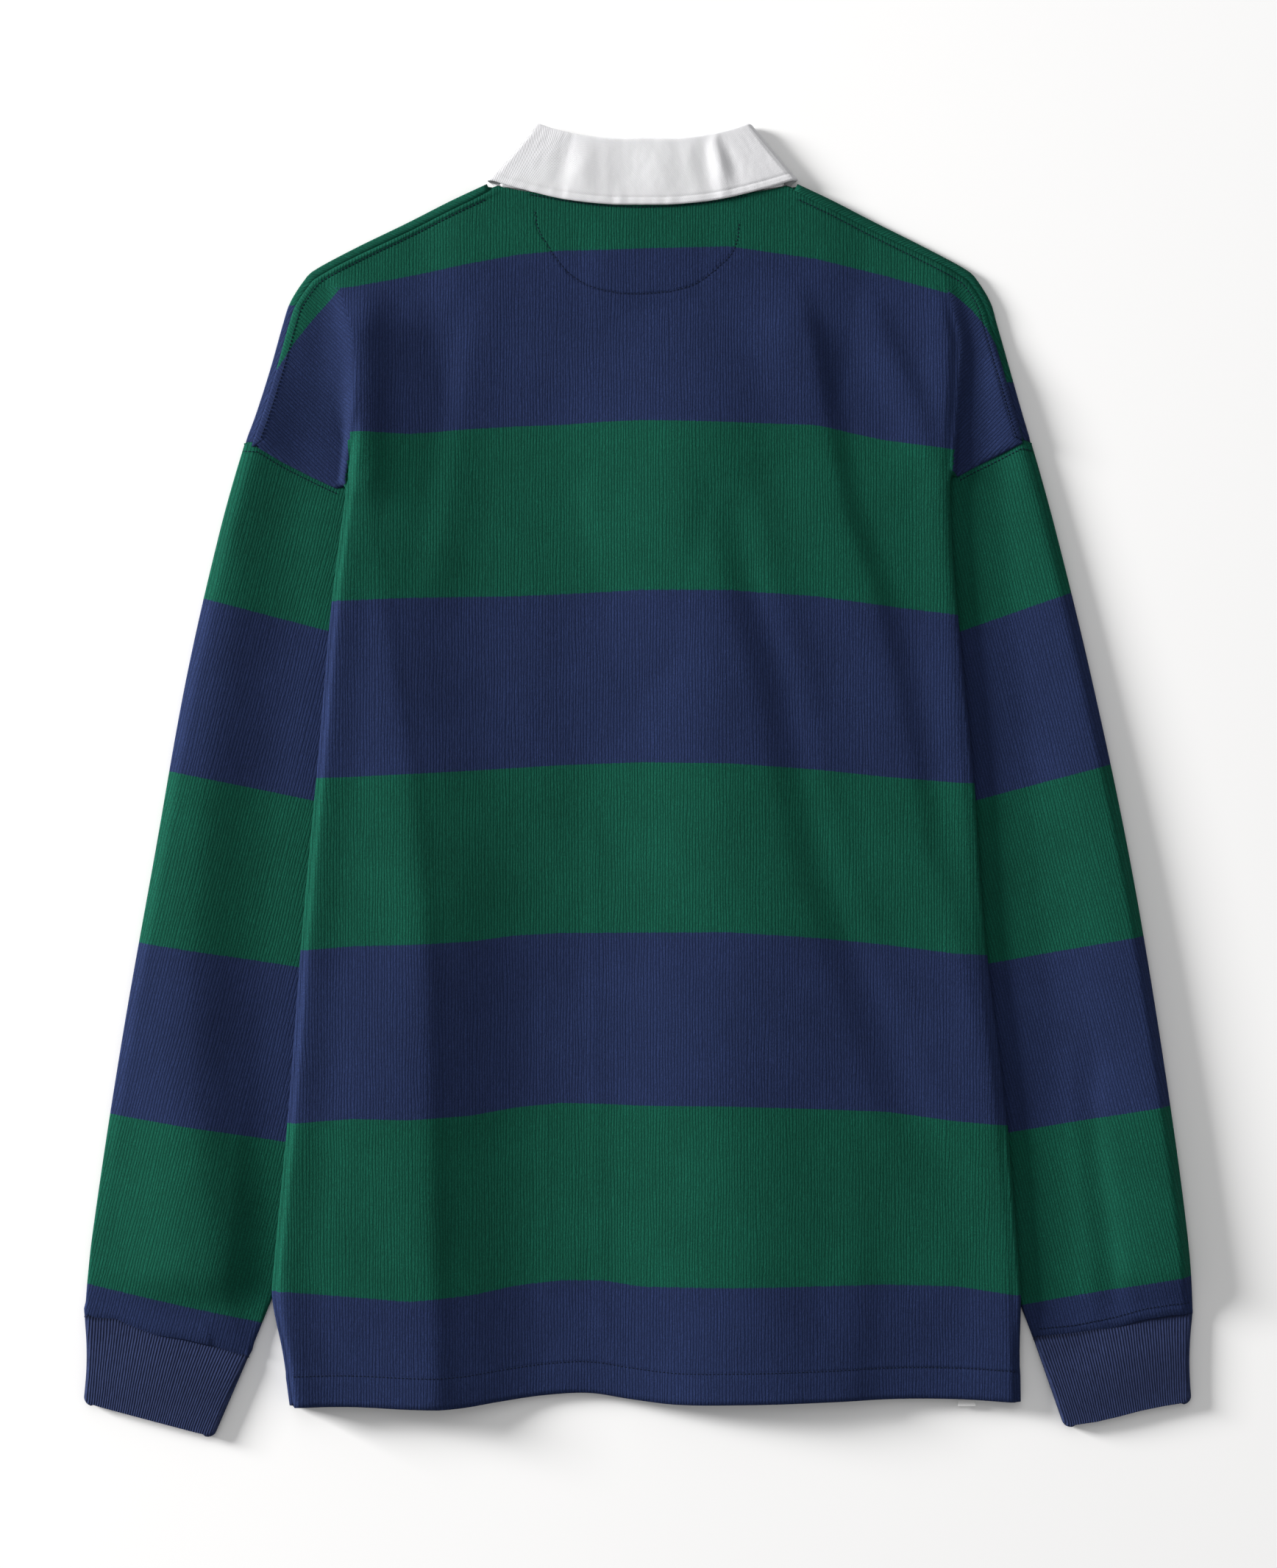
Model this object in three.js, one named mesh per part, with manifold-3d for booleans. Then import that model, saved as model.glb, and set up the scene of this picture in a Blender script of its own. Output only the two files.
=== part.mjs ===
// A long-sleeved rugby shirt laid flat on its front, with the back panel up and the sleeves drawn down
// beside the body, partly under it. Millimetres: +X to the shirt's right-hand edge as it lies, +Y towards
// the collar, +Z up from the surface that it lies on. Every panel is a thin wall swept over rows of points.
import * as THREE from "three";
import { mergeVertices } from "three/addons/utils/BufferGeometryUtils.js";
import Module from "manifold-3d";

const wasm = await Module();
wasm.setup();

// Cloth
const JERSEY = 1.6; // wall of the heavy knit in body and sleeves
const RIB = 2.2; // wall of the ribbed cuffs
const TWILL = 1.4; // wall of the woven collar and placket, two plies fused
const SEAM_GAP = 0.4; // space left between two pieces at a seam
const LAYER_GAP = 0.4; // least space between two layers that lie on each other
const LOFT = { least: 0.35, usual: 0.9, most: 3.4 }; // space between back and front beyond the least

// Body
const AXIS_X = 2.2; // the neck's centre line
const BACK_NECK = { reach: 85, endY: 353.2 }; // where the back's top row ends beside the neck
const SIDE_SEAM_IN = 16; // from a side fold to the side seam, on the underside
const FOLD_RADIUS = 2.0; // mid-wall radius of the body's side folds
const EDGE_RADIUS = 1.0; // mid-wall radius of the shoulder and sleeve edges
const SHOULDER_SEAM_IN = 7; // the shoulder seam lies this far in from the edge, on the back
const UNDER_BODY = 4.0; // height of the front panel's underside over a sleeve
const UNDER_FRONT = TWILL + LAYER_GAP; // the same over the collar's points and the placket
const UNDERARM = { left: [-74, 68], right: [78.5, 68] };
const HEM_Y = -371.5; // lowest row of the body
const HEM_WAVE = { x: -40, rise: 5.5, width: 55 }; // where the hem draws up between two soft folds
const FOLD_TOP = { y: 300, full: 236 }; // the side folds grow from nothing to their full height here
const ARM_CREST = 2.2; // rise of the upper layer along a sleeve
const BODY_STATIONS = 9; // columns of points from the neck's centre line to a side fold's flank
const FLANK = [14, 9, 5, 2]; // distances in from the middle of a fold's bend
const OUTSIDE = 5; // columns of points outside the bend
const ROLL_DEGREES = [88, 50, 15, -20, -55, -90]; // round a side fold, from the back to the underside
const TURNED_COLUMNS = 6; // columns of the front that turn over the shoulder's edge

// The shoulder's edge on each side, from the neck to the sleeve
const SHOULDER_EDGE = [
  { y: 356.8, left: -90.8, right: 95.2 },
  { y: 345.6, left: -114.8, right: 118.8 },
  { y: 332.4, left: -141.2, right: 144.8 },
  { y: 319.2, left: -168.5, right: 171.2 },
  { y: 306, left: -193.2, right: 195.8 },
  { y: 299.4, left: -200.2, right: 202.8 },
  { y: 286.2, left: -208.6, right: 210.8 },
  { y: 273, left: -213, right: 214.7 },
  { y: 246.6, left: -220.4, right: 222.2 },
  { y: 220.2, left: -228.8, right: 229.7 },
  { y: 202.6, left: -235.4, right: 235 },
];

// Visible edge of each side fold, from the shoulder to the hem
const SIDE_FOLDS = [
  { y: 300, left: -178, right: 181 },
  { y: 286, left: -175, right: 185.5 },
  { y: 262, left: -168, right: 190.5 },
  { y: 232, left: -168, right: 189.5 },
  { y: 172, left: -175, right: 186.5 },
  { y: 105, left: -183.5, right: 190.5 },
  { y: 8, left: -192, right: 200 },
  { y: -90, left: -201, right: 207 },
  { y: -200, left: -209.5, right: 220 },
  { y: -290, left: -218, right: 227.5 },
  { y: -308, left: -219, right: 228.5 },
  { y: -340, left: -213, right: 228 },
  { y: -372, left: -208.5, right: 228.5 },
];

// Outer edge of shoulder and sleeve by height
const OUTER_EDGES = [
  { y: 300, left: -200, right: 202.8 },
  { y: 286, left: -208.6, right: 210.8 },
  { y: 246.6, left: -220.4, right: 222.2 },
  { y: 202.6, left: -235.4, right: 235 },
  { y: 149.8, left: -250.4, right: 249.5 },
  { y: 62, left: -270.5, right: 271 },
  { y: -44, left: -289.5, right: 293.5 },
  { y: -150, left: -308.4, right: 311.5 },
  { y: -255, left: -324.7, right: 326.5 },
  { y: -317, left: -332, right: 332.2 },
  { y: -372, left: -332.5, right: 332 },
];

// Middle heights of the back's rows that end on the shoulder seam, then of those on the armhole seam
const YOKE_MIDDLES = [346.6, 339, 331, 323, 315, 307, 299, 292, 285];
const ARMHOLE_MIDDLES = [279, 274, 269, 264];

// Where the body's other rows run: height at the left fold, on the centre line and at the right fold
const BODY_ROWS = [
  { left: 170, centre: 257, right: 177 },
  { left: 158, centre: 247, right: 165 },
  { left: 138, centre: 226, right: 146 },
  { left: 115, centre: 198, right: 122 },
  { left: 88, centre: 162, right: 94 },
  { left: 58, centre: 122, right: 62 },
  { left: 26, centre: 80, right: 28 },
  { left: -8, centre: 36, right: -8 },
  { left: -44, centre: -8, right: -45 },
  { left: -82, centre: -52, right: -84 },
  { left: -122, centre: -98, right: -124 },
  { left: -162, centre: -144, right: -164 },
  { left: -202, centre: -190, right: -204 },
  { left: -242, centre: -235, right: -244 },
  { left: -280, centre: -276, right: -282 },
  { left: -310, centre: -308, right: -311 },
  { left: -332, centre: -331, right: -333 },
  { left: -352, centre: -352, right: -353 },
  { left: HEM_Y, centre: HEM_Y, right: HEM_Y },
];

// The armhole seam, from the shoulder's edge to the side fold
const ARMHOLE = {
  left: [
    [-235, 202.5],
    [-228, 200.5],
    [-213, 191.5],
    [-194, 182],
    [-180, 175.5],
  ],
  right: [
    [235.5, 204.5],
    [229, 202.5],
    [216, 196],
    [200, 188],
    [190, 182.5],
  ],
};

// Outer edge of each sleeve from the armhole to the cuff, with the share of its inner edge at that step
const SLEEVE_STEPS = [
  { outerY: 188, inner: 0.05 },
  { outerY: 158, inner: 0.11 },
  { outerY: 114.6, inner: 0.19 },
  { outerY: 62, inner: 0.28 },
  { outerY: 9, inner: 0.37 },
  { outerY: -44, inner: 0.46 },
  { outerY: -97, inner: 0.56 },
  { outerY: -150, inner: 0.66 },
  { outerY: -202, inner: 0.76 },
  { outerY: -255, inner: 0.86 },
  { outerY: -296, inner: 0.95 },
  { outerY: -316, inner: 1 },
];
const SLEEVE_TOP_Y = 200.6; // outer corner of each sleeve at the armhole
const SLEEVE_END_IN = { left: [-232, -343], right: [236, -332] }; // inner corner at the cuff
const CUFF_FADE = { none: -317, full: -290 }; // the sleeve's crest flattens towards the cuff
// Where the front stops short of the corner between armhole and side seam, under the back's roll
const FRONT_CORNERS = [
  { x: [-205, -165], y: [166, 184] },
  { x: [175, 210], y: [173, 191] },
];
const CUT_Z = [-1, 12]; // a cut through the front reaches past its lowest and highest points
const SLIT_TOP = 280; // the placket's slit runs into the neck's curve
// Corners of each cuff: outer and inner end of its seam, then of its lower edge
const CUFFS = {
  left: {
    topOut: [-331.5, -316.9],
    topIn: [-232.6, -343.6],
    lowOut: [-332, -371],
    lowIn: [-253.5, -392],
  },
  right: {
    topOut: [331.7, -317],
    topIn: [236.3, -332.8],
    lowOut: [331.5, -371],
    lowIn: [254.5, -386.5],
  },
};

// The collar round one half of the neck, from the centre back to the centre front. For each station the
// fold line, the leaf's edge and the neck seam, and the turn round the side: 90 on top, -90 under.
const COLLAR = [
  { foldX: 0, foldY: 382.6, edgeX: 0, edgeY: 344, seamX: 0, seamY: 347, turn: 90 },
  { foldX: 20, foldY: 382.6, edgeX: 21, edgeY: 344.4, seamX: 21, seamY: 347.6, turn: 90 },
  { foldX: 40, foldY: 385, edgeX: 47, edgeY: 347.4, seamX: 45, seamY: 349.3, turn: 90 },
  { foldX: 53, foldY: 388, edgeX: 73, edgeY: 352.8, seamX: 68, seamY: 351.8, turn: 90 },
  { foldX: 61.5, foldY: 390.8, edgeX: 88, edgeY: 356.5, seamX: 82, seamY: 353, turn: 90 },
  { foldX: 62.5, foldY: 391, edgeX: 89.4, edgeY: 359.4, seamX: 83.4, seamY: 354.2, turn: 45 },
  { foldX: 62.7, foldY: 391, edgeX: 89.6, edgeY: 360.4, seamX: 83.6, seamY: 354.6, turn: 0 },
  { foldX: 62.5, foldY: 390.8, edgeX: 89.4, edgeY: 360.2, seamX: 83.4, seamY: 354.2, turn: -45 },
  { foldX: 61, foldY: 388, edgeX: 88, edgeY: 356, seamX: 82, seamY: 350, turn: -90 },
  { foldX: 55, foldY: 362, edgeX: 87, edgeY: 318, seamX: 79, seamY: 325, turn: -90 },
  { foldX: 46, foldY: 332, edgeX: 80, edgeY: 278, seamX: 67, seamY: 302, turn: -90 },
  { foldX: 30, foldY: 308, edgeX: 68, edgeY: 244, seamX: 46, seamY: 281, turn: -90 },
  { foldX: 6, foldY: 296, edgeX: 52, edgeY: 220, seamX: 6, seamY: 267, turn: -90 },
];
const COLLAR_FOLD = 0.9; // mid-wall radius of the fold between leaf and stand
// Layers through the neck: leaf, front stand, back stand, leaf
const COLLAR_SIDE = (TWILL + LAYER_GAP) / 2 + 0.15; // from the neck's middle layer to the stand
const COLLAR_MIDDLE = TWILL / 2 + 2 * COLLAR_FOLD + COLLAR_SIDE; // height of the neck's middle layer

// Placket and buttons, hidden between the front and the surface
const PLACKET = { width: 36, top: 262, bottom: 126, slitWidth: 26, slitBottom: 134 };
const BUTTON = { radius: 5.5, rim: 0.5, at: [246, 196, 150] };
const CARE_LABEL = { x: 196.5, width: 10.5, y: [-374.5, -354], z: [2.3, 3.3] };

// The largest folds: a soft ridge (rise over 0) or trough along a line, with its half width across
const FOLDS = [
  { name: "left plateau", from: [-120, 90], to: [-122, HEM_Y], width: 46, rise: 2.4 },
  { name: "left valley", from: [-52, 250], to: [-44, HEM_Y], width: 44, rise: -1.6 },
  { name: "shoulder dip, left", from: [-140, 262], to: [-100, 60], width: 24, rise: -1.3 },
  { name: "centre crest", from: [42, 300], to: [60, HEM_Y], width: 60, rise: 1.8 },
  { name: "long diagonal, right", from: [58, 140], to: [175, -210], width: 26, rise: 1.5 },
  { name: "beside the diagonal", from: [92, 130], to: [206, -190], width: 20, rise: -1.4 },
  { name: "shoulder ridge, right", from: [92, 282], to: [160, 40], width: 20, rise: 1.6 },
  { name: "shoulder dip, right", from: [112, 276], to: [176, 60], width: 16, rise: -1.2 },
  { name: "above the label", from: [196, -300], to: [196, HEM_Y], width: 26, rise: 1.2 },
];

const COLOURS = { navy: 0x242c49, green: 0x184a3c, white: 0xe6e6ea, rubber: 0xeceae4 };

const clamp = (v, low, high) => Math.min(high, Math.max(low, v));
const mix = (a, b, f) => a + (b - a) * f;
const ease = (low, high, v) => {
  const f = clamp((v - low) / (high - low), 0, 1);
  return f * f * (3 - 2 * f);
};
const mixPoint = (a, b, f) => a.map((v, k) => mix(v, b[k], f));

// Value of a column at a height, smooth between the table's rows
function column(table, key, at, name) {
  const rows = table.map((row) => ({ at: row[key], value: row[name] })).sort((a, b) => a.at - b.at);
  const last = rows.length - 1;
  if (at <= rows[0].at) return rows[0].value;
  if (at >= rows[last].at) return rows[last].value;
  const k = rows.findIndex((row) => row.at > at) - 1;
  const slope = (n) => {
    const low = rows[Math.max(0, n - 1)];
    const high = rows[Math.min(last, n + 1)];
    return (high.value - low.value) / (high.at - low.at);
  };
  const span = rows[k + 1].at - rows[k].at;
  const f = (at - rows[k].at) / span;
  const h = (a, b, c, d) => ((a * f + b) * f + c) * f + d;
  return (
    h(2, -3, 0, 1) * rows[k].value +
    h(1, -2, 1, 0) * span * slope(k) +
    h(-2, 3, 0, 0) * rows[k + 1].value +
    h(1, -1, 0, 0) * span * slope(k + 1)
  );
}

// Point at a share of a polyline's length
function along(points, share) {
  const lengths = points.slice(1).map((p, k) => Math.hypot(p[0] - points[k][0], p[1] - points[k][1]));
  let left = clamp(share, 0, 1) * lengths.reduce((a, b) => a + b, 0);
  for (let k = 0; k < lengths.length; k++) {
    if (left <= lengths[k] || k === lengths.length - 1) {
      return mixPoint(points[k], points[k + 1], clamp(left / lengths[k], 0, 1));
    }
    left -= lengths[k];
  }
  return points[points.length - 1];
}

// Signed distance to the left of a line from a to b
function beside(point, a, b) {
  const run = [b[0] - a[0], b[1] - a[1]];
  return ((point[1] - a[1]) * run[0] - (point[0] - a[0]) * run[1]) / Math.hypot(...run);
}

// Share of a soft ridge's height at a point: full on its line, none past its half width and its ends
function ridge(x, y, fold) {
  const run = [fold.to[0] - fold.from[0], fold.to[1] - fold.from[1]];
  const length = Math.hypot(...run);
  const at = ((x - fold.from[0]) * run[0] + (y - fold.from[1]) * run[1]) / (length * length);
  const off = Math.abs(beside([x, y], fold.from, fold.to)) / fold.width;
  const tail = fold.to[1] <= HEM_Y ? 1 : 1 - ease(0.82, 1.05, at);
  return (1 - ease(0, 1, off)) * ease(-0.12, 0.18, at) * tail;
}

const sideOf = { left: -1, right: 1 };
const foldX = (side, y) => column(SIDE_FOLDS, "y", y, side);

const outerX = (side, y) => column(OUTER_EDGES, "y", y, side);
const sideAt = (x) => (x < AXIS_X ? "left" : "right");
const inwardOf = (side, x, y) => sideOf[side] * (foldX(side, y) - x);

// Height of the underside of the front panel, which rides over the sleeves, the collar and the placket
function lift(x, y) {
  let most = 0;
  for (const side of ["left", "right"]) {
    const seam = ARMHOLE[side][ARMHOLE[side].length - 1];
    const above = -sideOf[side] * beside([x, y], seam, UNDERARM[side]);
    const beyond = -sideOf[side] * beside([x, y], UNDERARM[side], SLEEVE_END_IN[side]);
    const near = (1 - ease(14, 66, above)) * (1 - ease(12, 46, beyond));
    most = Math.max(most, UNDER_BODY * near * ease(-9, -1, inwardOf(side, x, y)));
  }
  const fromAxis = Math.abs(x - AXIS_X);
  const collar = (1 - ease(106, 136, fromAxis)) * ease(160, 196, y);
  const placket = (1 - ease(24, 52, fromAxis)) * ease(38, 78, y);
  return Math.max(most, UNDER_FRONT * collar, UNDER_FRONT * placket);
}

// Rise of the upper layer over a shoulder or sleeve, from nothing at the body and at the outer edge
function crest(side, x, y) {
  const gap = -inwardOf(side, x, y);
  const edge = sideOf[side] * (outerX(side, y) - x);
  return ARM_CREST * ease(8, 40, gap) * ease(4, 26, edge) * ease(320, 280, y);
}

// Space between the body's two layers beyond the least
function loft(x, y) {
  const side = sideAt(x);
  const inward = inwardOf(side, x, y);
  const folds = FOLDS.reduce((sum, fold) => sum + fold.rise * ridge(x, y, fold), 0);
  const placket = (1 - ease(24, 52, Math.abs(x - AXIS_X))) * ease(38, 78, y) * UNDER_FRONT;
  const open = Math.max(clamp(LOFT.usual + folds, LOFT.least, LOFT.most), placket) * ease(345, 296, y);
  const rim = (2 * FOLD_RADIUS - JERSEY - LAYER_GAP) * (1 - ease(FOLD_TOP.full, FOLD_TOP.y, y));
  if (inward >= 0) return mix(rim, open, ease(2, 38, inward));
  return mix(rim, crest(side, x, y) + LOFT.least * ease(320, 280, y), ease(0, 5, -inward));
}

const LAYERS = JERSEY + LAYER_GAP; // least distance between the middles of two layers
const frontZ = (x, y) => lift(x, y) + JERSEY / 2;
const backZ = (x, y) => frontZ(x, y) + LAYERS + loft(x, y);

// Direction of a line at its middle point of three, whatever the distances
function tangent(before, point, after) {
  const back = new THREE.Vector3().subVectors(point, before).normalize();
  return new THREE.Vector3().subVectors(after, point).normalize().add(back);
}

// A closed wall round a grid of mid-wall points, rows by columns. A tube's columns close on themselves.
function wall(grid, thickness, tube = false) {
  const rows = grid.length;
  const columns = grid[0].length;
  const at = (i, j) => grid[i][tube ? (j + columns) % columns : clamp(j, 0, columns - 1)];
  const skins = [[], []];
  for (let i = 0; i < rows; i++) {
    for (let j = 0; j < columns; j++) {
      const across = tangent(at(i, j - 1), at(i, j), at(i, j + 1));
      const down = tangent(at(Math.max(i - 1, 0), j), at(i, j), at(Math.min(i + 1, rows - 1), j));
      const normal = across.cross(down).normalize();
      for (const [k, half] of [thickness / 2, -thickness / 2].entries()) {
        skins[k].push(at(i, j).clone().addScaledVector(normal, half));
      }
    }
  }
  const count = rows * columns;
  const index = [];
  const quad = (a, b, c, d) => index.push(a, b, c, a, c, d);
  const steps = tube ? columns : columns - 1;
  for (let i = 0; i < rows - 1; i++) {
    for (let j = 0; j < steps; j++) {
      const [a, b] = [i * columns + j, i * columns + ((j + 1) % columns)];
      const [c, d] = [b + columns, a + columns];
      quad(a, b, c, d);
      quad(count + a, count + d, count + c, count + b);
    }
  }
  for (let j = 0; j < steps; j++) {
    const [a, b] = [j, (j + 1) % columns];
    const low = (rows - 1) * columns;
    quad(a, count + a, count + b, b);
    quad(low + a, low + b, count + low + b, count + low + a);
  }
  for (let i = 0; i < rows - 1 && !tube; i++) {
    const [a, b] = [i * columns, (i + 1) * columns];
    const end = columns - 1;
    quad(a, b, count + b, count + a);
    quad(a + end, count + a + end, count + b + end, b + end);
  }
  const geometry = new THREE.BufferGeometry();
  const flat = skins.flat().flatMap((p) => [p.x, p.y, p.z]);
  geometry.setAttribute("position", new THREE.Float32BufferAttribute(flat, 3));
  geometry.setIndex(index);
  return geometry;
}

function toSolid(geometry) {
  const bare = geometry.clone();
  bare.deleteAttribute("normal");
  bare.deleteAttribute("uv");
  const merged = mergeVertices(bare, 1e-4);
  const solid = new wasm.Manifold(
    new wasm.Mesh({
      numProp: 3,
      vertProperties: new Float32Array(merged.attributes.position.array),
      triVerts: new Uint32Array(merged.index.array),
    }),
  );
  return solid;
}

function toGeometry(solid) {
  const mesh = solid.getMesh();
  const geometry = new THREE.BufferGeometry();
  geometry.setAttribute("position", new THREE.Float32BufferAttribute(mesh.vertProperties, 3));
  geometry.setIndex([...mesh.triVerts]);
  return geometry;
}

const shirt = new THREE.Group();
const finishes = {
  jersey: new THREE.MeshStandardMaterial({ color: COLOURS.navy, roughness: 0.95, metalness: 0 }),
  sleeve: new THREE.MeshStandardMaterial({ color: COLOURS.green, roughness: 0.95, metalness: 0 }),
  rib: new THREE.MeshStandardMaterial({ color: COLOURS.navy, roughness: 0.95, metalness: 0 }),
  twill: new THREE.MeshStandardMaterial({ color: COLOURS.white, roughness: 0.85, metalness: 0 }),
  rubber: new THREE.MeshStandardMaterial({ color: COLOURS.rubber, roughness: 0.5, metalness: 0 }),
};

function add(name, geometry, finish) {
  const mesh = new THREE.Mesh(geometry, finishes[finish]);
  mesh.name = name;
  shirt.add(mesh);
}

const vector = (x, y, z) => new THREE.Vector3(x, y, z);
const shares = (count) => Array.from({ length: count + 1 }, (_, k) => k / count);

// Point on a shoulder's edge, moved in from it
function shoulderPoint(side, share, inset) {
  const curve = new THREE.CatmullRomCurve3(
    SHOULDER_EDGE.map((p) => vector(p[side], p.y, 0)),
    false,
    "centripetal",
  );
  const point = curve.getPointAt(share);
  const tangent = curve.getTangentAt(share);
  const turn = sideOf[side];
  return [point.x + turn * tangent.y * inset, point.y - turn * tangent.x * inset, tangent];
}

// The hem's soft wave, fading out up the body
function wave(x, y) {
  const near = Math.exp(-(((x - HEM_WAVE.x) / HEM_WAVE.width) ** 2));
  return HEM_WAVE.rise * near * ease(-200, HEM_Y, y);
}

// Stations across one side of a back row: in to out, up to the flank of the fold's bend
function stationsIn(bendReach) {
  const flank = bendReach - FLANK[0];
  const middle = shares(BODY_STATIONS).map((share) => share * flank);
  return [...middle, ...FLANK.slice(1).map((inward) => bendReach - inward)];
}

// Points of one side of a row, from the centre line outwards. The row sags towards its end.
function rowSide(side, middleY, end, bendReach) {
  const turn = sideOf[side];
  const endReach = turn * (end[0] - AXIS_X);
  const pointAt = (reach) => [AXIS_X + turn * reach, mix(middleY, end[1], (reach / endReach) ** 2)];
  return { pointAt, inner: stationsIn(bendReach).map(pointAt), endReach };
}

// Reach of the bend in a row that ends outside it
function bendIn(side, k, middleY, end) {
  const turn = sideOf[side];
  const endReach = turn * (end[0] - AXIS_X);
  if (k < 5) return endReach * mix(0.8, 0.86, k / 4);
  const sag = (reach) => mix(middleY, end[1], (reach / endReach) ** 2);
  const first = turn * (foldX(side, 280) - AXIS_X);
  return Math.min(endReach - 4, turn * (foldX(side, sag(first)) - AXIS_X) - 1);
}

const joinSides = (left, right) => [...left.slice(1).reverse(), ...right];

// The back, with a rolled fold down each side that ends at the side seam on the underside
function backPanel() {
  const upper = [...YOKE_MIDDLES, ...ARMHOLE_MIDDLES].map((middleY, k) => {
    const sides = ["left", "right"].map((side) => {
      const end = backEnd(side, k);
      const bend = bendIn(side, k, middleY, end);
      const { pointAt, inner, endReach } = rowSide(side, middleY, end, bend);
      const outer = shares(OUTSIDE).map((share) => pointAt(mix(bend, endReach, share)));
      return [...inner, ...outer].map(([x, y]) => vector(x, y, backZ(x, y)));
    });
    return joinSides(...sides);
  });
  const lower = BODY_ROWS.map((row) => {
    const sides = ["left", "right"].map((side) => {
      const turn = sideOf[side];
      const inset = FOLD_RADIUS + JERSEY / 2;
      const bendX = foldX(side, row[side]) - turn * inset;
      const bend = turn * (bendX - AXIS_X);
      const { inner, pointAt } = rowSide(side, row.centre, [bendX, row[side]], bend);
      const top = inner.map(([x, y]) => vector(x, y + wave(x, y), backZ(x, y + wave(x, y))));
      const centreZ = frontZ(bendX, row[side]) + FOLD_RADIUS;
      const roll = ROLL_DEGREES.map((degrees) => {
        const angle = (degrees * Math.PI) / 180;
        const x = bendX + turn * FOLD_RADIUS * Math.cos(angle);
        return vector(x, row[side], centreZ + FOLD_RADIUS * Math.sin(angle));
      });
      const under = [6, SIDE_SEAM_IN - 4].map((inward) => {
        const [x, y] = pointAt(bend - inward);
        return vector(x, y, frontZ(x, y));
      });
      return [...top, ...roll, ...under];
    });
    return joinSides(...sides);
  });
  return wall([...upper, ...lower], JERSEY);
}

// End of a back row: on the neck, on the shoulder seam, then on the armhole seam
function backEnd(side, k) {
  if (k === 0) return [AXIS_X + sideOf[side] * BACK_NECK.reach, BACK_NECK.endY];
  const shoulder = YOKE_MIDDLES.length - 1;
  if (k > shoulder) {
    const [x, y] = ARMHOLE[side][k - shoulder];
    return [x, y + SEAM_GAP / 2];
  }
  const [x, y] = shoulderPoint(side, k / shoulder, SHOULDER_SEAM_IN + SEAM_GAP);
  return [x, y];
}

// The front, on the surface. It turns up round the shoulder's edge to the seam on the back.
function frontPanel() {
  const shoulder = YOKE_MIDDLES.length - 1;
  const sideRow = (side, middleY, end, bend, rest) => {
    const { inner } = rowSide(side, middleY, end, bend);
    const flat = [...inner, ...rest].map(([x, y]) => vector(x, y, frontZ(x, y)));
    return flat;
  };
  const outside = (side, middleY, end, bend) => {
    const { pointAt, endReach } = rowSide(side, middleY, end, bend);
    return shares(OUTSIDE).map((share) => pointAt(mix(bend, endReach, share)));
  };
  const upper = YOKE_MIDDLES.map((middleY, k) => {
    const sides = ["left", "right"].map((side) => {
      const turn = sideOf[side];
      const inset = EDGE_RADIUS + JERSEY / 2;
      const [x, y, tangent] = shoulderPoint(side, k / shoulder, inset);
      const outward = [-turn * tangent.y, turn * tangent.x];
      const centreZ = frontZ(x, y) + EDGE_RADIUS;
      const turned = [-50, -10, 30, 70].map((degrees) => {
        const angle = (degrees * Math.PI) / 180;
        const out = EDGE_RADIUS * Math.cos(angle);
        return vector(x + outward[0] * out, y + outward[1] * out, centreZ + EDGE_RADIUS * Math.sin(angle));
      });
      const onBack = { 0: 3, [shoulder]: 1.2 }[k] ?? SHOULDER_SEAM_IN - inset;
      const over = [0.1, 1].map((share) => {
        const back = onBack * share;
        return vector(x - outward[0] * back, y - outward[1] * back, centreZ + EDGE_RADIUS);
      });
      const bend = bendIn(side, k, middleY, [x, y]);
      const rest = outside(side, middleY, [x, y], bend);
      return [...sideRow(side, middleY, [x, y], bend, rest), ...turned, ...over];
    });
    return joinSides(...sides);
  });
  const armhole = ARMHOLE_MIDDLES.map((middleY, k) => {
    const sides = ["left", "right"].map((side) => {
      const end = backEnd(side, k + shoulder + 1);
      const bend = bendIn(side, k + shoulder + 1, middleY, end);
      const { pointAt, endReach } = rowSide(side, middleY, end, bend);
      const reaches = shares(OUTSIDE).map((share) => mix(bend, endReach, share));
      const last = reaches[OUTSIDE - 1];
      const tail = shares(TURNED_COLUMNS + 1).slice(1);
      const rest = [...reaches.slice(0, -1), ...tail.map((share) => mix(last, endReach, share))];
      return sideRow(side, middleY, end, bend, rest.map(pointAt));
    });
    return joinSides(...sides);
  });
  const lower = BODY_ROWS.map((row) => {
    const sides = ["left", "right"].map((side) => {
      const turn = sideOf[side];
      const bendX = foldX(side, row[side]) - turn * (FOLD_RADIUS + JERSEY / 2);
      const bend = turn * (bendX - AXIS_X);
      const { pointAt } = rowSide(side, row.centre, [bendX, row[side]], bend);
      const flank = bend - FLANK[0];
      const seam = bend - (SIDE_SEAM_IN - 4) - SEAM_GAP;
      const inner = shares(BODY_STATIONS).map((share) => share * flank);
      const tail = shares(FLANK.length + OUTSIDE + TURNED_COLUMNS + 1).slice(1);
      const near = tail.map((share) => mix(inner[BODY_STATIONS - 1], seam, share));
      return [...inner.slice(0, -1), ...near].map(pointAt).map(([x, y]) => vector(x, y, frontZ(x, y)));
    });
    return joinSides(...sides).map((p) => p.setY(p.y + wave(p.x, p.y)));
  });
  return wall([...upper, ...armhole, ...lower], JERSEY);
}

// A prism over a closed outline in plan
function prism(outline, low, high) {
  const shape = new THREE.Shape(outline.map(([x, y]) => new THREE.Vector2(x, y)));
  const geometry = new THREE.ExtrudeGeometry(shape, { depth: high - low, bevelEnabled: false });
  return geometry.translate(0, 0, low);
}

const block = (x, y, z) =>
  new THREE.BoxGeometry(x[1] - x[0], y[1] - y[0], z[1] - z[0]).translate(
    (x[0] + x[1]) / 2,
    (y[0] + y[1]) / 2,
    (z[0] + z[1]) / 2,
  );

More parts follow.
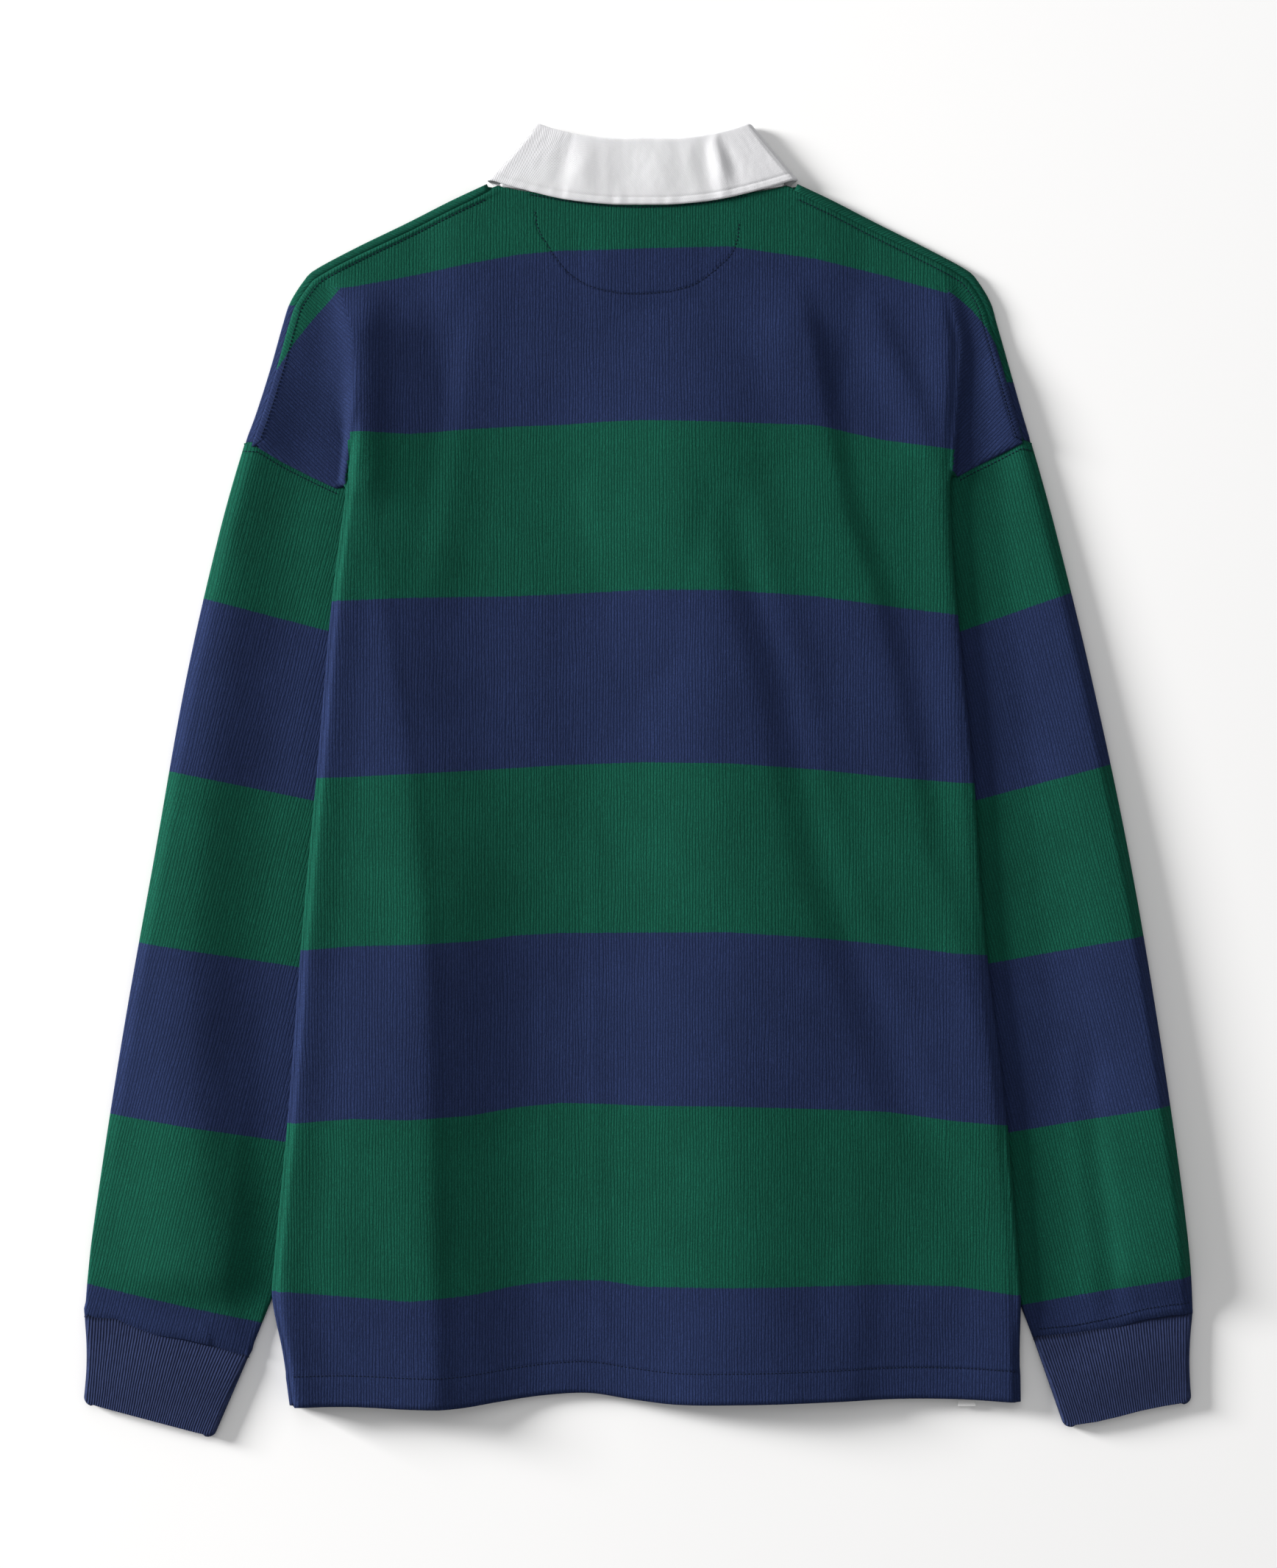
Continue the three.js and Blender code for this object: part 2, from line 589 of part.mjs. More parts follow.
// The front's neck curve with the hollow above it, and the slit of the placket
function frontCut() {
  const stations = COLLAR.filter((row) => row.turn === -90);
  const half = stations.map((row) => [row.seamX + SEAM_GAP / 3, row.seamY - SEAM_GAP / 2]);
  const corner = [
    [87.4, 372],
    [87.2, 357.5],
    [85.4, 352.5],
  ];
  const profile = [...corner, ...half];
  const right = profile.map(([x, y]) => [AXIS_X + x, y]);
  const left = profile.reverse().map(([x, y]) => [AXIS_X - x, y]);
  const neck = toSolid(prism([...right, ...left], ...CUT_Z));
  const slit = PLACKET.slitWidth / 2;
  const opening = toSolid(block([AXIS_X - slit, AXIS_X + slit], [PLACKET.slitBottom, SLIT_TOP], CUT_Z));
  const corners = FRONT_CORNERS.map(({ x, y }) => toSolid(block(x, y, CUT_Z)));
  return corners.reduce((sum, corner) => sum.add(corner), neck.add(opening));
}

// The collar: leaf, fold and stand in one wall that runs round the neck
function collar() {
  const halfTurn = COLLAR_FOLD + COLLAR_SIDE;
  const station = (row, turn) => {
    const angle = (row.turn * Math.PI) / 180;
    const normal = vector(turn * Math.cos(angle), 0, Math.sin(angle));
    const flat = (x, y) => vector(AXIS_X + turn * x, y, COLLAR_MIDDLE);
    const [fold, edge, seam] = ["fold", "edge", "seam"].map((key) => flat(row[key + "X"], row[key + "Y"]));
    const upward = fold.clone().sub(seam).normalize();
    const leaf = [1, 0.72, 0.42, 0.12].map((share) =>
      fold.clone().lerp(edge, share).addScaledVector(normal, halfTurn + COLLAR_FOLD),
    );
    const bend = [0, 36, 72, 108, 144, 180].map((degrees) => {
      const theta = (degrees * Math.PI) / 180;
      return fold
        .clone()
        .addScaledVector(normal, halfTurn + COLLAR_FOLD * Math.cos(theta))
        .addScaledVector(upward, COLLAR_FOLD * Math.sin(theta));
    });
    const stand = [0.15, 0.55, 1].map((share) =>
      fold.clone().lerp(seam, share).addScaledVector(normal, halfTurn - COLLAR_FOLD),
    );
    return [...leaf, ...bend, ...stand];
  };
  const left = COLLAR.map((row) => station(row, -1));
  const right = COLLAR.map((row) => station(row, 1));
  return wall(joinSides(left, right), TWILL);
}

// A flattened tube through rows of two ends each: [outer, inner], on the surface
function flatTube(rows, side, radius, thickness, topZ, stations) {
  const inset = radius + thickness / 2;
  const grid = rows.map(({ at }) => {
    const width = Math.hypot(...at(1).map((v, k) => v - at(0)[k]));
    const share = (distance) => distance / width;
    const across = shares(stations).map((f) => mix(share(inset), 1 - share(inset), f));
    const lowZ = thickness / 2;
    const arc = (end, from, to) => {
      const point = at(end === 0 ? share(inset) : 1 - share(inset));
      const other = at(end === 0 ? share(inset + 1) : 1 - share(inset + 1));
      const outward = [point[0] - other[0], point[1] - other[1]];
      const centreZ = (lowZ + topZ(point[0], point[1])) / 2;
      const height = centreZ - lowZ;
      return [0.25, 0.5, 0.75].map((f) => {
        const angle = (mix(from, to, f) * Math.PI) / 180;
        const out = radius * Math.cos(angle);
        const z = centreZ + height * Math.sin(angle);
        return vector(point[0] + outward[0] * out, point[1] + outward[1] * out, z);
      });
    };
    const top = across.map((f) => at(f)).map(([x, y]) => vector(x, y, topZ(x, y)));
    const under = [...across].reverse().map((f) => at(f)).map(([x, y]) => vector(x, y, lowZ));
    return [...top, ...arc(1, 90, -90), ...under, ...arc(0, -90, -270)];
  });
  return wall(grid, thickness, true);
}

function sleeve(side) {
  const seam = ARMHOLE[side].map(([x, y]) => [x, y - SEAM_GAP]);
  const line = [[outerX(side, SLEEVE_TOP_Y), SLEEVE_TOP_Y], ...seam.slice(1), UNDERARM[side]];
  const innerEnd = SLEEVE_END_IN[side];
  const straight = (outer, inner) => (f) => mixPoint(outer, inner, f);
  const first = straight(line[0], line[line.length - 1]);
  const bulge = (f) => along(line, f).map((v, k) => v - first(f)[k]);
  const rows = [{ at: (f) => along(line, f) }];
  for (const [k, step] of SLEEVE_STEPS.entries()) {
    const outer = [outerX(side, step.outerY), step.outerY];
    const row = straight(outer, mixPoint(UNDERARM[side], innerEnd, step.inner));
    const fade = Math.max(0, 1 - (k + 1) / 4);
    rows.push({ at: (f) => row(f).map((v, n) => v + bulge(f)[n] * fade) });
  }
  const fade = (y) => ease(CUFF_FADE.none, CUFF_FADE.full, y);
  const topZ = (x, y) => JERSEY / 2 + LAYERS + crest(side, x, y) * fade(y);
  const geometry = flatTube(rows, side, EDGE_RADIUS, JERSEY, topZ, 10);
  add(`sleeve_${side}`, toGeometry(toSolid(geometry)), "sleeve");
}

function cuff(side) {
  const { topOut, topIn, lowOut, lowIn } = CUFFS[side];
  const rows = shares(3).map((share) => {
    const [outer, inner] = [mixPoint(topOut, lowOut, share), mixPoint(topIn, lowIn, share)];
    return { at: (f) => mixPoint(outer, inner, f) };
  });
  const radius = (RIB + LAYER_GAP) / 2;
  const topZ = () => RIB / 2 + 2 * radius;
  add(`cuff_${side}`, toGeometry(toSolid(flatTube(rows, side, radius, RIB, topZ, 6))), "rib");
}

function button(y) {
  const { radius, rim } = BUTTON;
  const [low, high] = [UNDER_FRONT, UNDER_FRONT + JERSEY];
  const profile = [
    [0, low],
    [radius - rim, low],
    [radius, low + rim],
    [radius, high - rim],
    [radius - rim, high],
    [0, high],
  ];
  const lathe = new THREE.LatheGeometry(profile.map(([r, z]) => new THREE.Vector2(r, z)), 20);
  return lathe.rotateX(Math.PI / 2).translate(AXIS_X, y, 0);
}

function placket() {
  const { width, top, bottom } = PLACKET;
  const x = [AXIS_X - width / 2, AXIS_X + width / 2];
  const underLow = UNDER_FRONT + JERSEY + LAYER_GAP;
  add("placket_upper", block(x, [bottom, top], [0, TWILL]), "twill");
  add("placket_under", block(x, [bottom, top], [underLow, underLow + TWILL]), "twill");
  BUTTON.at.forEach((y, k) => add(`button_${k + 1}`, toGeometry(toSolid(button(y))), "rubber"));
}

add("back", backPanel(), "jersey");
add("front", toGeometry(toSolid(frontPanel()).subtract(frontCut())), "jersey");
for (const side of ["left", "right"]) {
  sleeve(side);
  cuff(side);
}
add("collar", collar(), "twill");
placket();
const labelHalf = CARE_LABEL.width / 2;
const labelX = [CARE_LABEL.x - labelHalf, CARE_LABEL.x + labelHalf];
add("care_label", block(labelX, CARE_LABEL.y, CARE_LABEL.z), "twill");

export default shirt;
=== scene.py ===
"""A long-sleeved rugby shirt with green and navy hoops and a white collar, laid flat with its back up.

Sizes are in millimetres in the shirt's own frame: +X to the right as seen from above, +Y towards the collar,
+Z up from the surface. They are turned into metres where a mesh is made.
"""

import math

import bpy
import numpy as np
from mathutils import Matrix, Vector


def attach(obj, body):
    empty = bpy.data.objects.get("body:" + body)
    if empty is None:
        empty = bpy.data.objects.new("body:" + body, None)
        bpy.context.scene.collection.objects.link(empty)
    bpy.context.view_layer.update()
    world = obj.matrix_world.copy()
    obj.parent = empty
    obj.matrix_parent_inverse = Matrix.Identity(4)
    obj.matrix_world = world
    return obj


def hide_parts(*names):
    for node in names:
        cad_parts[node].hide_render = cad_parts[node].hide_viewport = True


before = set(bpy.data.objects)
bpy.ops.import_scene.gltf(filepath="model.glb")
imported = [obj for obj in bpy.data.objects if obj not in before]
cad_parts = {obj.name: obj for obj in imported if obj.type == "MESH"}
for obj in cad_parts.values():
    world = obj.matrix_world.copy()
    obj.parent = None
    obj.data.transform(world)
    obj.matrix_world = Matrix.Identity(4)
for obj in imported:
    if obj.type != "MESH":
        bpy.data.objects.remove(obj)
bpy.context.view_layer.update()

MM = 0.001

# Cloth
JERSEY = 1.6
RIB = 2.2
TWILL = 1.4
SEAM_GAP = 0.4
LAYER_GAP = 0.4
LAYERS = JERSEY + LAYER_GAP
WALE = 1.8
RIB_PITCH = 1.75
LEAST_LOFT = 0.35

# Body
AXIS_X = 2.2
BACK_NECK = {"reach": 85.0, "end_y": 355.0}
SIDE_SEAM_IN = 16.0
FOLD_RADIUS = 2.0
EDGE_RADIUS = 1.0
SHOULDER_SEAM_IN = 5.6
# The share of the shoulder's edge at which its seam meets the armhole
SEAM_END = {"left": 1.0, "right": 0.991}
UNDER_BODY = 4.0
UNDER_FRONT = TWILL + LAYER_GAP
UNDERARM = {"left": (-74.0, 68.0), "right": (78.5, 68.0)}
TUCK = (8.0, 1.0)
# The front falls from a sleeve's hidden edge over a short distance, the back bridges it over a long one
LIFT_FALL = {
    "front": {"above": (14, 66), "beyond": (2, 28)},
    "back": {"above": (14, 130), "beyond": (2, 105)},
}
# Room under the front for the collar's points and the placket: where it ends across and down the body
COLLAR_ROOM = {"across": (106, 136), "down": (160, 196)}
PLACKET_ROOM = {"across": (24, 52), "down": (38, 78)}
FOLD_TOP = {"y": 300.0, "full": 236.0}
FLANK = 14.0
HEM_DEPTH = 18.6

BASE_LOFT = 1.0
RELIEF_TOP = {"none": 318.0, "full": 268.0}
SEAM_DIP = 0.8
FRONT_SHORTER = 3.0
HEM_Y = -371.5
# A ridge whose line ends below this height runs out over the hem or the cuff instead of fading
RUNS_OUT_BELOW = -318.0

# Pattern of the hoops: the first change to navy, and the depth of one hoop
FIRST_NAVY = 26.5
HOOP = 102.6

SHOULDER_EDGE = [
    {"y": 356.8, "left": -90.8, "right": 95.2},
    {"y": 345.6, "left": -114.8, "right": 118.8},
    {"y": 332.4, "left": -141.2, "right": 144.8},
    {"y": 319.2, "left": -168.5, "right": 171.2},
    {"y": 306.0, "left": -193.2, "right": 195.8},
    {"y": 299.4, "left": -200.2, "right": 202.8},
    {"y": 286.2, "left": -208.6, "right": 210.8},
    {"y": 273.0, "left": -213.0, "right": 214.7},
    {"y": 246.6, "left": -220.4, "right": 222.2},
    {"y": 220.2, "left": -228.8, "right": 229.7},
    {"y": 202.6, "left": -235.4, "right": 235.0},
]

SIDE_FOLDS = [
    {"y": 300, "left": -178, "right": 181},
    {"y": 286, "left": -175, "right": 185.5},
    {"y": 262, "left": -168, "right": 190.5},
    {"y": 232, "left": -168, "right": 189.5},
    {"y": 172, "left": -175, "right": 186.5},
    {"y": 105, "left": -183.5, "right": 190.5},
    {"y": 8, "left": -192, "right": 200},
    {"y": -90, "left": -201, "right": 207},
    {"y": -200, "left": -209.5, "right": 220},
    {"y": -290, "left": -218, "right": 227.5},
    {"y": -308, "left": -219, "right": 228.5},
    {"y": -340, "left": -213, "right": 228},
    {"y": -372, "left": -208.5, "right": 228.5},
]

OUTER_EDGES = [
    {"y": 300, "left": -200, "right": 202.8},
    {"y": 286, "left": -208.6, "right": 210.8},
    {"y": 246.6, "left": -220.4, "right": 222.2},
    {"y": 202.6, "left": -235.4, "right": 235},
    {"y": 149.8, "left": -250.4, "right": 249.5},
    {"y": 62, "left": -270.5, "right": 271},
    {"y": -44, "left": -289.5, "right": 293.5},
    {"y": -150, "left": -308.4, "right": 311.5},
    {"y": -255, "left": -324.7, "right": 326.5},
    {"y": -317, "left": -332, "right": 332.2},
    {"y": -372, "left": -332.5, "right": 332},
]

YOKE_MIDDLES = [346.6, 339, 331, 323, 315, 307, 299, 292, 285]
ARMHOLE_MIDDLES = [279, 274, 269, 264]
ROW_MIDDLES = YOKE_MIDDLES + ARMHOLE_MIDDLES
SEAM_ROWS = len(YOKE_MIDDLES) - 1
LAST_ROW = len(ROW_MIDDLES) - 1

BODY_ROWS = [
    {"left": 170, "centre": 257, "right": 177},
    {"left": 158, "centre": 247, "right": 165},
    {"left": 138, "centre": 226, "right": 146},
    {"left": 115, "centre": 198, "right": 122},
    {"left": 88, "centre": 162, "right": 94},
    {"left": 58, "centre": 122, "right": 62},
    {"left": 26, "centre": 80, "right": 28},
    {"left": -8, "centre": 36, "right": -8},
    {"left": -44, "centre": -8, "right": -45},
    {"left": -82, "centre": -52, "right": -84},
    {"left": -122, "centre": -98, "right": -124},
    {"left": -162, "centre": -144, "right": -164},
    {"left": -202, "centre": -190, "right": -204},
    {"left": -242, "centre": -235, "right": -244},
    {"left": -280, "centre": -276, "right": -282},
    {"left": -310, "centre": -308, "right": -311},
    {"left": -332, "centre": -331, "right": -333},
    {"left": -352, "centre": -352, "right": -353},
    {"left": -371.5, "centre": -371.5, "right": -371.5},
]

ARMHOLE = {
    "left": [(-235, 202.5), (-228, 200.5), (-213, 191.5), (-194, 182), (-180, 175.5)],
    "right": [(235.5, 204.5), (229, 202.5), (216, 196), (200, 188), (190, 182.5)],
}

# The hem's height across the back, which draws up between two soft folds
HEM_LINE = [
    {"x": -210, "y": -373.8},
    {"x": -171, "y": -373.4},
    {"x": -136, "y": -374.7},
    {"x": -109, "y": -374.6},
    {"x": -83, "y": -371.1},
    {"x": -56, "y": -367.6},
    {"x": -30, "y": -366.3},
    {"x": -4, "y": -369.8},
    {"x": 23, "y": -372.5},
    {"x": 62, "y": -372.1},
    {"x": 102, "y": -371.2},
    {"x": 155, "y": -369.4},
    {"x": 194, "y": -369.8},
    {"x": 226, "y": -371.6},
]

SLEEVE_STEPS = [
    {"outer_y": 188, "inner": 0.05},
    {"outer_y": 158, "inner": 0.11},
    {"outer_y": 114.6, "inner": 0.19},
    {"outer_y": 62, "inner": 0.28},
    {"outer_y": 9, "inner": 0.37},
    {"outer_y": -44, "inner": 0.46},
    {"outer_y": -97, "inner": 0.56},
    {"outer_y": -150, "inner": 0.66},
    {"outer_y": -202, "inner": 0.76},
    {"outer_y": -255, "inner": 0.86},
    {"outer_y": -296, "inner": 0.95},
    {"outer_y": -316, "inner": 1},
]
SLEEVE_TOP_Y = 200.6
SLEEVE_END_IN = {"left": (-232.0, -343.0), "right": (236.0, -332.0)}

# Where the hoops change across the body, at these distances from the middle of the frame
HOOP_X = [-210, -171, -136, -100, -74, -47, -21, 2, 54, 106, 146, 190, 225]
HOOP_ROWS = [
    [292.0, 294.5, 301.6, 309.1, 313.9, 316.6, 317.0, 317.9, 319.2, 311.7, 302.1, 289.5, 282.0],
    [207.6, 207.9, 206.6, 209.8, 211.4, 212.3, 214.1, 214.9, 213.6, 211.9, 203.3, 197.3, 195.0],
    [106.0, 107.1, 108.8, 109.5, 109.8, 111.1, 112.4, 113.7, 113.3, 109.8, 104.3, 98.8, 96.5],
    [0.6, 2.0, 3.7, 5.7, 7.3, 9.0, 10.0, 10.8, 10.1, 6.4, 2.2, -1.4, -2.6],
    [-102.3, -98.8, -97.9, -96.1, -92.6, -91.3, -91.1, -90.9, -90.4, -93.9, -97.9, -103.5, -105.0],
    [-204.8, -201.7, -202.2, -200.0, -195.6, -192.9, -193.4, -194.3, -194.3, -196.0, -197.7, -203.5, -206.5],
    [-304.7, -307.8, -310.4, -307.3, -302.1, -299.0, -299.0, -302.5, -302.5, -301.6, -301.0, -302.1, -307.3],
]

# The first change to navy on each dropped shoulder, from the side fold to the shoulder seam
SHOULDER_HOOP = {
    "left": [(-176, 296), (-192.7, 277), (-205.9, 260.5), (-214.7, 246.2), (-221, 236)],
    "right": [(181, 296), (190, 288.9), (198.9, 281.8), (207.7, 271.3), (216.5, 253.2), (221.5, 233)],
}

SHOULDER_LEAN = math.radians(46)
# The front's strip over the shoulder turns navy below these heights
STRIP_NAVY_BELOW = {"left": 284.0, "right": 238.0}

# Where the hoops change on each sleeve: a point on the line and its slope
SLEEVE_HOOPS = {
    "left": [
        {"x": -223.5, "y": 99.2, "slope": -0.26},
        {"x": -236.7, "y": -3.5, "slope": -0.205},
        {"x": -249.9, "y": -104.5, "slope": -0.155},
        {"x": -263.1, "y": -207.9, "slope": -0.163},
        {"x": -278.5, "y": -312.6, "slope": -0.224},
    ],
    "right": [
        {"x": 225.3, "y": 100.5, "slope": 0.35},
        {"x": 242.9, "y": -1.1, "slope": 0.268},
        {"x": 260.5, "y": -100.5, "slope": 0.18},
        {"x": 269.3, "y": -202.6, "slope": 0.171},
        {"x": 278.1, "y": -305.1, "slope": 0.18},
    ],
}

# The seam between sleeve and cuff, and the cuff's lower edge, from the outer edge inwards
CUFF_SEAM = {
    "left": [(-331.6, -320.2), (-325, -322.4), (-311.5, -322.7), (-301.4, -326.4), (-287.8, -331),
             (-270.6, -333.4), (-253.4, -337.5), (-233.4, -344.8)],
    "right": [(331.8, -317.8), (318, -319), (302.7, -321.6), (285.6, -326.7), (260, -332), (236.4, -334.2)],
}
CUFF_EDGE = {
    "left": [(-332.2, -371.6), (-320.3, -375.1), (-293.9, -382.1), (-267.5, -389.2), (-254.0, -392.6)],
    "right": [(331.0, -371.4), (313.3, -374.2), (300, -376.9), (286.9, -380.4), (273.7, -383.5),
              (254.6, -386.4)],
}
CUFF_WAIST = 1.6
CUFF_CORNER = 3.2
CUFF_BELLY = 2.6
CUFF_RIPPLE = 0.35
ARMHOLE_STITCH_IN = 3.9
CUFF_STITCH_IN = 5.8

# The collar round one half of the neck: fold line, leaf's edge, neck seam, and the turn round the side
COLLAR = [
    {"fold": (0, 382.6), "edge": (0, 344), "seam": (0, 347), "turn": 90},
    {"fold": (20, 382.6), "edge": (21, 344.4), "seam": (21, 347.6), "turn": 90},
    {"fold": (40, 385), "edge": (47, 347.4), "seam": (45, 349.3), "turn": 90},
    {"fold": (53, 388), "edge": (73, 353.6), "seam": (68, 352.9), "turn": 90},
    {"fold": (61.5, 390.8), "edge": (88, 358), "seam": (82, 354.9), "turn": 90},
    {"fold": (62.5, 391), "edge": (89.6, 358.6), "seam": (83.4, 355.6), "turn": 45},
    {"fold": (62.7, 391), "edge": (89.8, 358.6), "seam": (83.6, 355.9), "turn": 0},
    {"fold": (62.5, 390.8), "edge": (89.6, 358), "seam": (83.4, 355.2), "turn": -45},
    {"fold": (61, 388), "edge": (88, 355), "seam": (82, 351.5), "turn": -90},
    {"fold": (60, 382), "edge": (88, 347), "seam": (81.5, 345), "turn": -90},
    {"fold": (55, 362), "edge": (87, 318), "seam": (79, 325), "turn": -90},
    {"fold": (46, 332), "edge": (80, 278), "seam": (67, 302), "turn": -90},
    {"fold": (30, 308), "edge": (68, 244), "seam": (46, 281), "turn": -90},
    {"fold": (6, 296), "edge": (52, 220), "seam": (6, 267), "turn": -90},
]
COLLAR_FOLD = 0.9
COLLAR_SIDE = (TWILL + LAYER_GAP) / 2 + 0.15
COLLAR_MIDDLE = TWILL / 2 + 2 * COLLAR_FOLD + COLLAR_SIDE

# Soft ridges and troughs of the laid cloth. Each runs along a line from top to bottom, and has its rise and
# its width on either side at the line's start and at its end.
PLATEAU = [(-162, 159), (-155, 115), (-149, 71), (-138, 5)]
PLATEAU += [(-133, -44), (-128, -100), (-125, -237), (-122, -372)]
BODY_RIDGES = [
    {
        "name": "left plateau",
        "line": [(-160, 291), (-162, 260)] + PLATEAU,
        "rise": (5.6, 9.8), "left": (84, 170), "right": (76, 80), "fade": 26,
    },
    {
        "name": "brow of the plateau",
        "line": [(-158, 230)] + PLATEAU,
        "rise": (0.4, 2.4), "left": (20, 48), "right": (14, 18), "fade": 40,
    },
    {
        "name": "crest over the left armhole",
        "line": [(-163, 298), (-166, 262), (-166, 205), (-163, 165)],
        "rise": (3.6, 3.0), "left": (27, 24), "right": (26, 26), "fade": 20,
    },
    {
        "name": "centre crest",
        "line": [(36, 262), (40, 159), (43, 71), (51, -44), (58, -105), (60, -193), (68, -281), (71, -372)],
        "rise": (7.0, 11.0), "left": (88, 104), "right": (120, 160), "fade": 60,
    },
    {
        "name": "shoulder crease, left",
        "line": [(-96, 277), (-100, 247), (-113, 159), (-122, 106)],
        "rise": (1.5, 1.2), "left": (16, 16), "right": (34, 30), "fade": 30,
    },
    {
        "name": "long trough, right",
        "line": [(58, 160), (67, 115), (82, 71), (107, -44), (122, -83), (146, -149), (161, -193),
                 (186, -246)],
        "rise": (-2.2, -1.7), "left": (18, 26), "right": (20, 26), "fade": 60,
    },
    {
        "name": "long ridge, right",
        "line": [(93, 294), (102, 260), (120, 159), (137, 115), (148, 71), (170, -44), (186, -83),
                 (199, -149), (212, -215)],
        "rise": (3.6, 1.5), "left": (40, 46), "right": (17, 26), "fade": 36,
    },
    {
        "name": "short ridge, right",
        "line": [(136, 292), (148, 260), (159, 238), (167, 215), (172, 190)],
        "rise": (1.6, 2.2), "left": (22, 22), "right": (15, 17), "fade": 24,
    },
    {
        "name": "left fold's rim",
        "line": [(-174, 150), (-178, 105), (-186.5, 8), (-195.5, -90), (-204, -200), (-212.5, -290),
                 (-208, -345), (-203.5, -372)],
        "rise": (2.4, 2.6), "left": (7, 7), "right": (24, 27), "fade": 50,
    },
    {
        "name": "right fold's rim",
        "line": [(180, 290), (185, 262), (184, 232), (181, 172), (185, 105), (194, 8), (201, -90),
                 (213, -200), (221, -290), (222, -372)],
        "rise": (1.5, 1.3), "left": (18, 30), "right": (6, 7), "fade": 24,
    },
    {
        "name": "thin crease, centre left",
        "line": [(-26, -20), (-25, -180), (-21, -330)],
        "rise": (0.35, 0.35), "left": (7, 7), "right": (6, 6), "fade": 60,
    },
    {
        "name": "thin crease in the valley",
        "line": [(-57, -130), (-56, -230), (-55, -330)],
        "rise": (0.3, 0.3), "left": (5, 5), "right": (9, 9), "fade": 50,
    },
    {
        "name": "low wave, bottom right",
        "line": [(132, -230), (130, -300), (126, -372)],
        "rise": (0.7, 1.2), "left": (26, 26), "right": (22, 22), "fade": 50,
    },
]
ARM_START = {"left": (0.0, 30.0), "right": (12.0, 44.0)}
ARM_RIDGES = {
    "left": [
        {
            "name": "outer crest",
            "line": [(-206, 284), (-216, 262), (-224, 238), (-233, 206), (-241, 176), (-245.5, 123),
                     (-250, 88), (-254, 53), (-258.7, 18),
                     (-263, -17), (-266.6, -61), (-269.7, -105), (-269.5, -149), (-267.5, -193),
                     (-263, -237), (-259, -281), (-257, -318)],
            "rise": (3.4, 10.0), "left": (12, 84), "right": (44, 66), "fade": 30,
        },
    ],
    "right": [
        {
            "name": "outer crest",
            "line": [(214, 262), (226, 222), (240, 176), (245, 159), (261, 88), (276, 18), (291, -61),
                     (309, -149), (313, -193), (321, -237),
                     (326, -281), (328, -318)],
            "rise": (3.2, 10.5), "left": (22, 84), "right": (14, 16), "fade": 30,
        },
        {
            "name": "short trough",
            "line": [(272.4, -160), (271.5, -193), (275.9, -237), (282.5, -281), (284.7, -318)],
            "rise": (-1.0, -1.8), "left": (14, 14), "right": (14, 14), "fade": 30,
        },
    ],
}

# Lines of stitching, in plan
NECK_PATCH = [(-62, 340.5), (-60, 329.8), (-54.6, 320), (-49.3, 312.2), (-41, 302.5), (-30.4, 295.9)]
NECK_PATCH += [(-19.4, 292.4), (-6.2, 290.6), (7.5, 291), (20.7, 292.4), (34.3, 296.8), (45.3, 304.7)]
NECK_PATCH += [(54.6, 313.5), (58.5, 321.4), (60.5, 334)]
NECK_STITCH = [(-65, 350.2), (-45, 346.6), (-23, 343.6), (0, 342.6), (23, 343.4), (45, 345.8), (67, 350)]

SIDE = {"left": -1, "right": 1}


def share_between(low, high, value):
    return np.clip((value - low) / (high - low), 0, 1)


def ease(low, high, value):
    share = share_between(low, high, value)
    return share * share * (3 - 2 * share)


def mix(a, b, share):
    return a + (b - a) * share


def curve(rows, name, at, key="y"):
    """Value of a table's column at a place, smooth between its rows."""
    ordered = sorted(rows, key=lambda row: row[key])
    places = np.array([row[key] for row in ordered], float)
    values = np.array([row[name] for row in ordered], float)
    slopes = np.gradient(values)
    steps = np.gradient(places)
    slopes = slopes / steps
    at = np.clip(np.asarray(at, float), places[0], places[-1])
    k = np.clip(np.searchsorted(places, at, side="right") - 1, 0, len(places) - 2)
    span = places[k + 1] - places[k]
    f = (at - places[k]) / span
    a = (2 * f**3 - 3 * f**2 + 1) * values[k] + (f**3 - 2 * f**2 + f) * span * slopes[k]
    b = (3 * f**2 - 2 * f**3) * values[k + 1] + (f**3 - f**2) * span * slopes[k + 1]
    return a + b


def fold_x(side, y):
    return curve(SIDE_FOLDS, side, y)


def outer_x(side, y):
    return curve(OUTER_EDGES, side, y)


def from_line(x, y, line):
    """Distance from a line in plan, over 0 on the right of its run downwards, and how far along it is."""
    best = np.full(np.shape(x), 1e9)
    signed = np.zeros(np.shape(x))
    along = np.zeros(np.shape(x))
    done = 0.0
    for (ax, ay), (bx, by) in zip(line[:-1], line[1:]):
        run = math.hypot(bx - ax, by - ay)
        dx, dy = (bx - ax) / run, (by - ay) / run
        place = (x - ax) * dx + (y - ay) * dy
        held = np.clip(place, 0, run)
        distance = np.hypot(x - ax - held * dx, y - ay - held * dy)
        across = dx * (y - ay) - dy * (x - ax)
        nearer = distance < best
        best = np.where(nearer, distance, best)
        signed = np.where(nearer, np.where(across < 0, -distance, distance), signed)
        along = np.where(nearer, done + place, along)
        done += run
    return signed, along, done


def beside(x, y, a, b):
    run = (b[0] - a[0], b[1] - a[1])
    return ((y - a[1]) * run[0] - (x - a[0]) * run[1]) / math.hypot(*run)


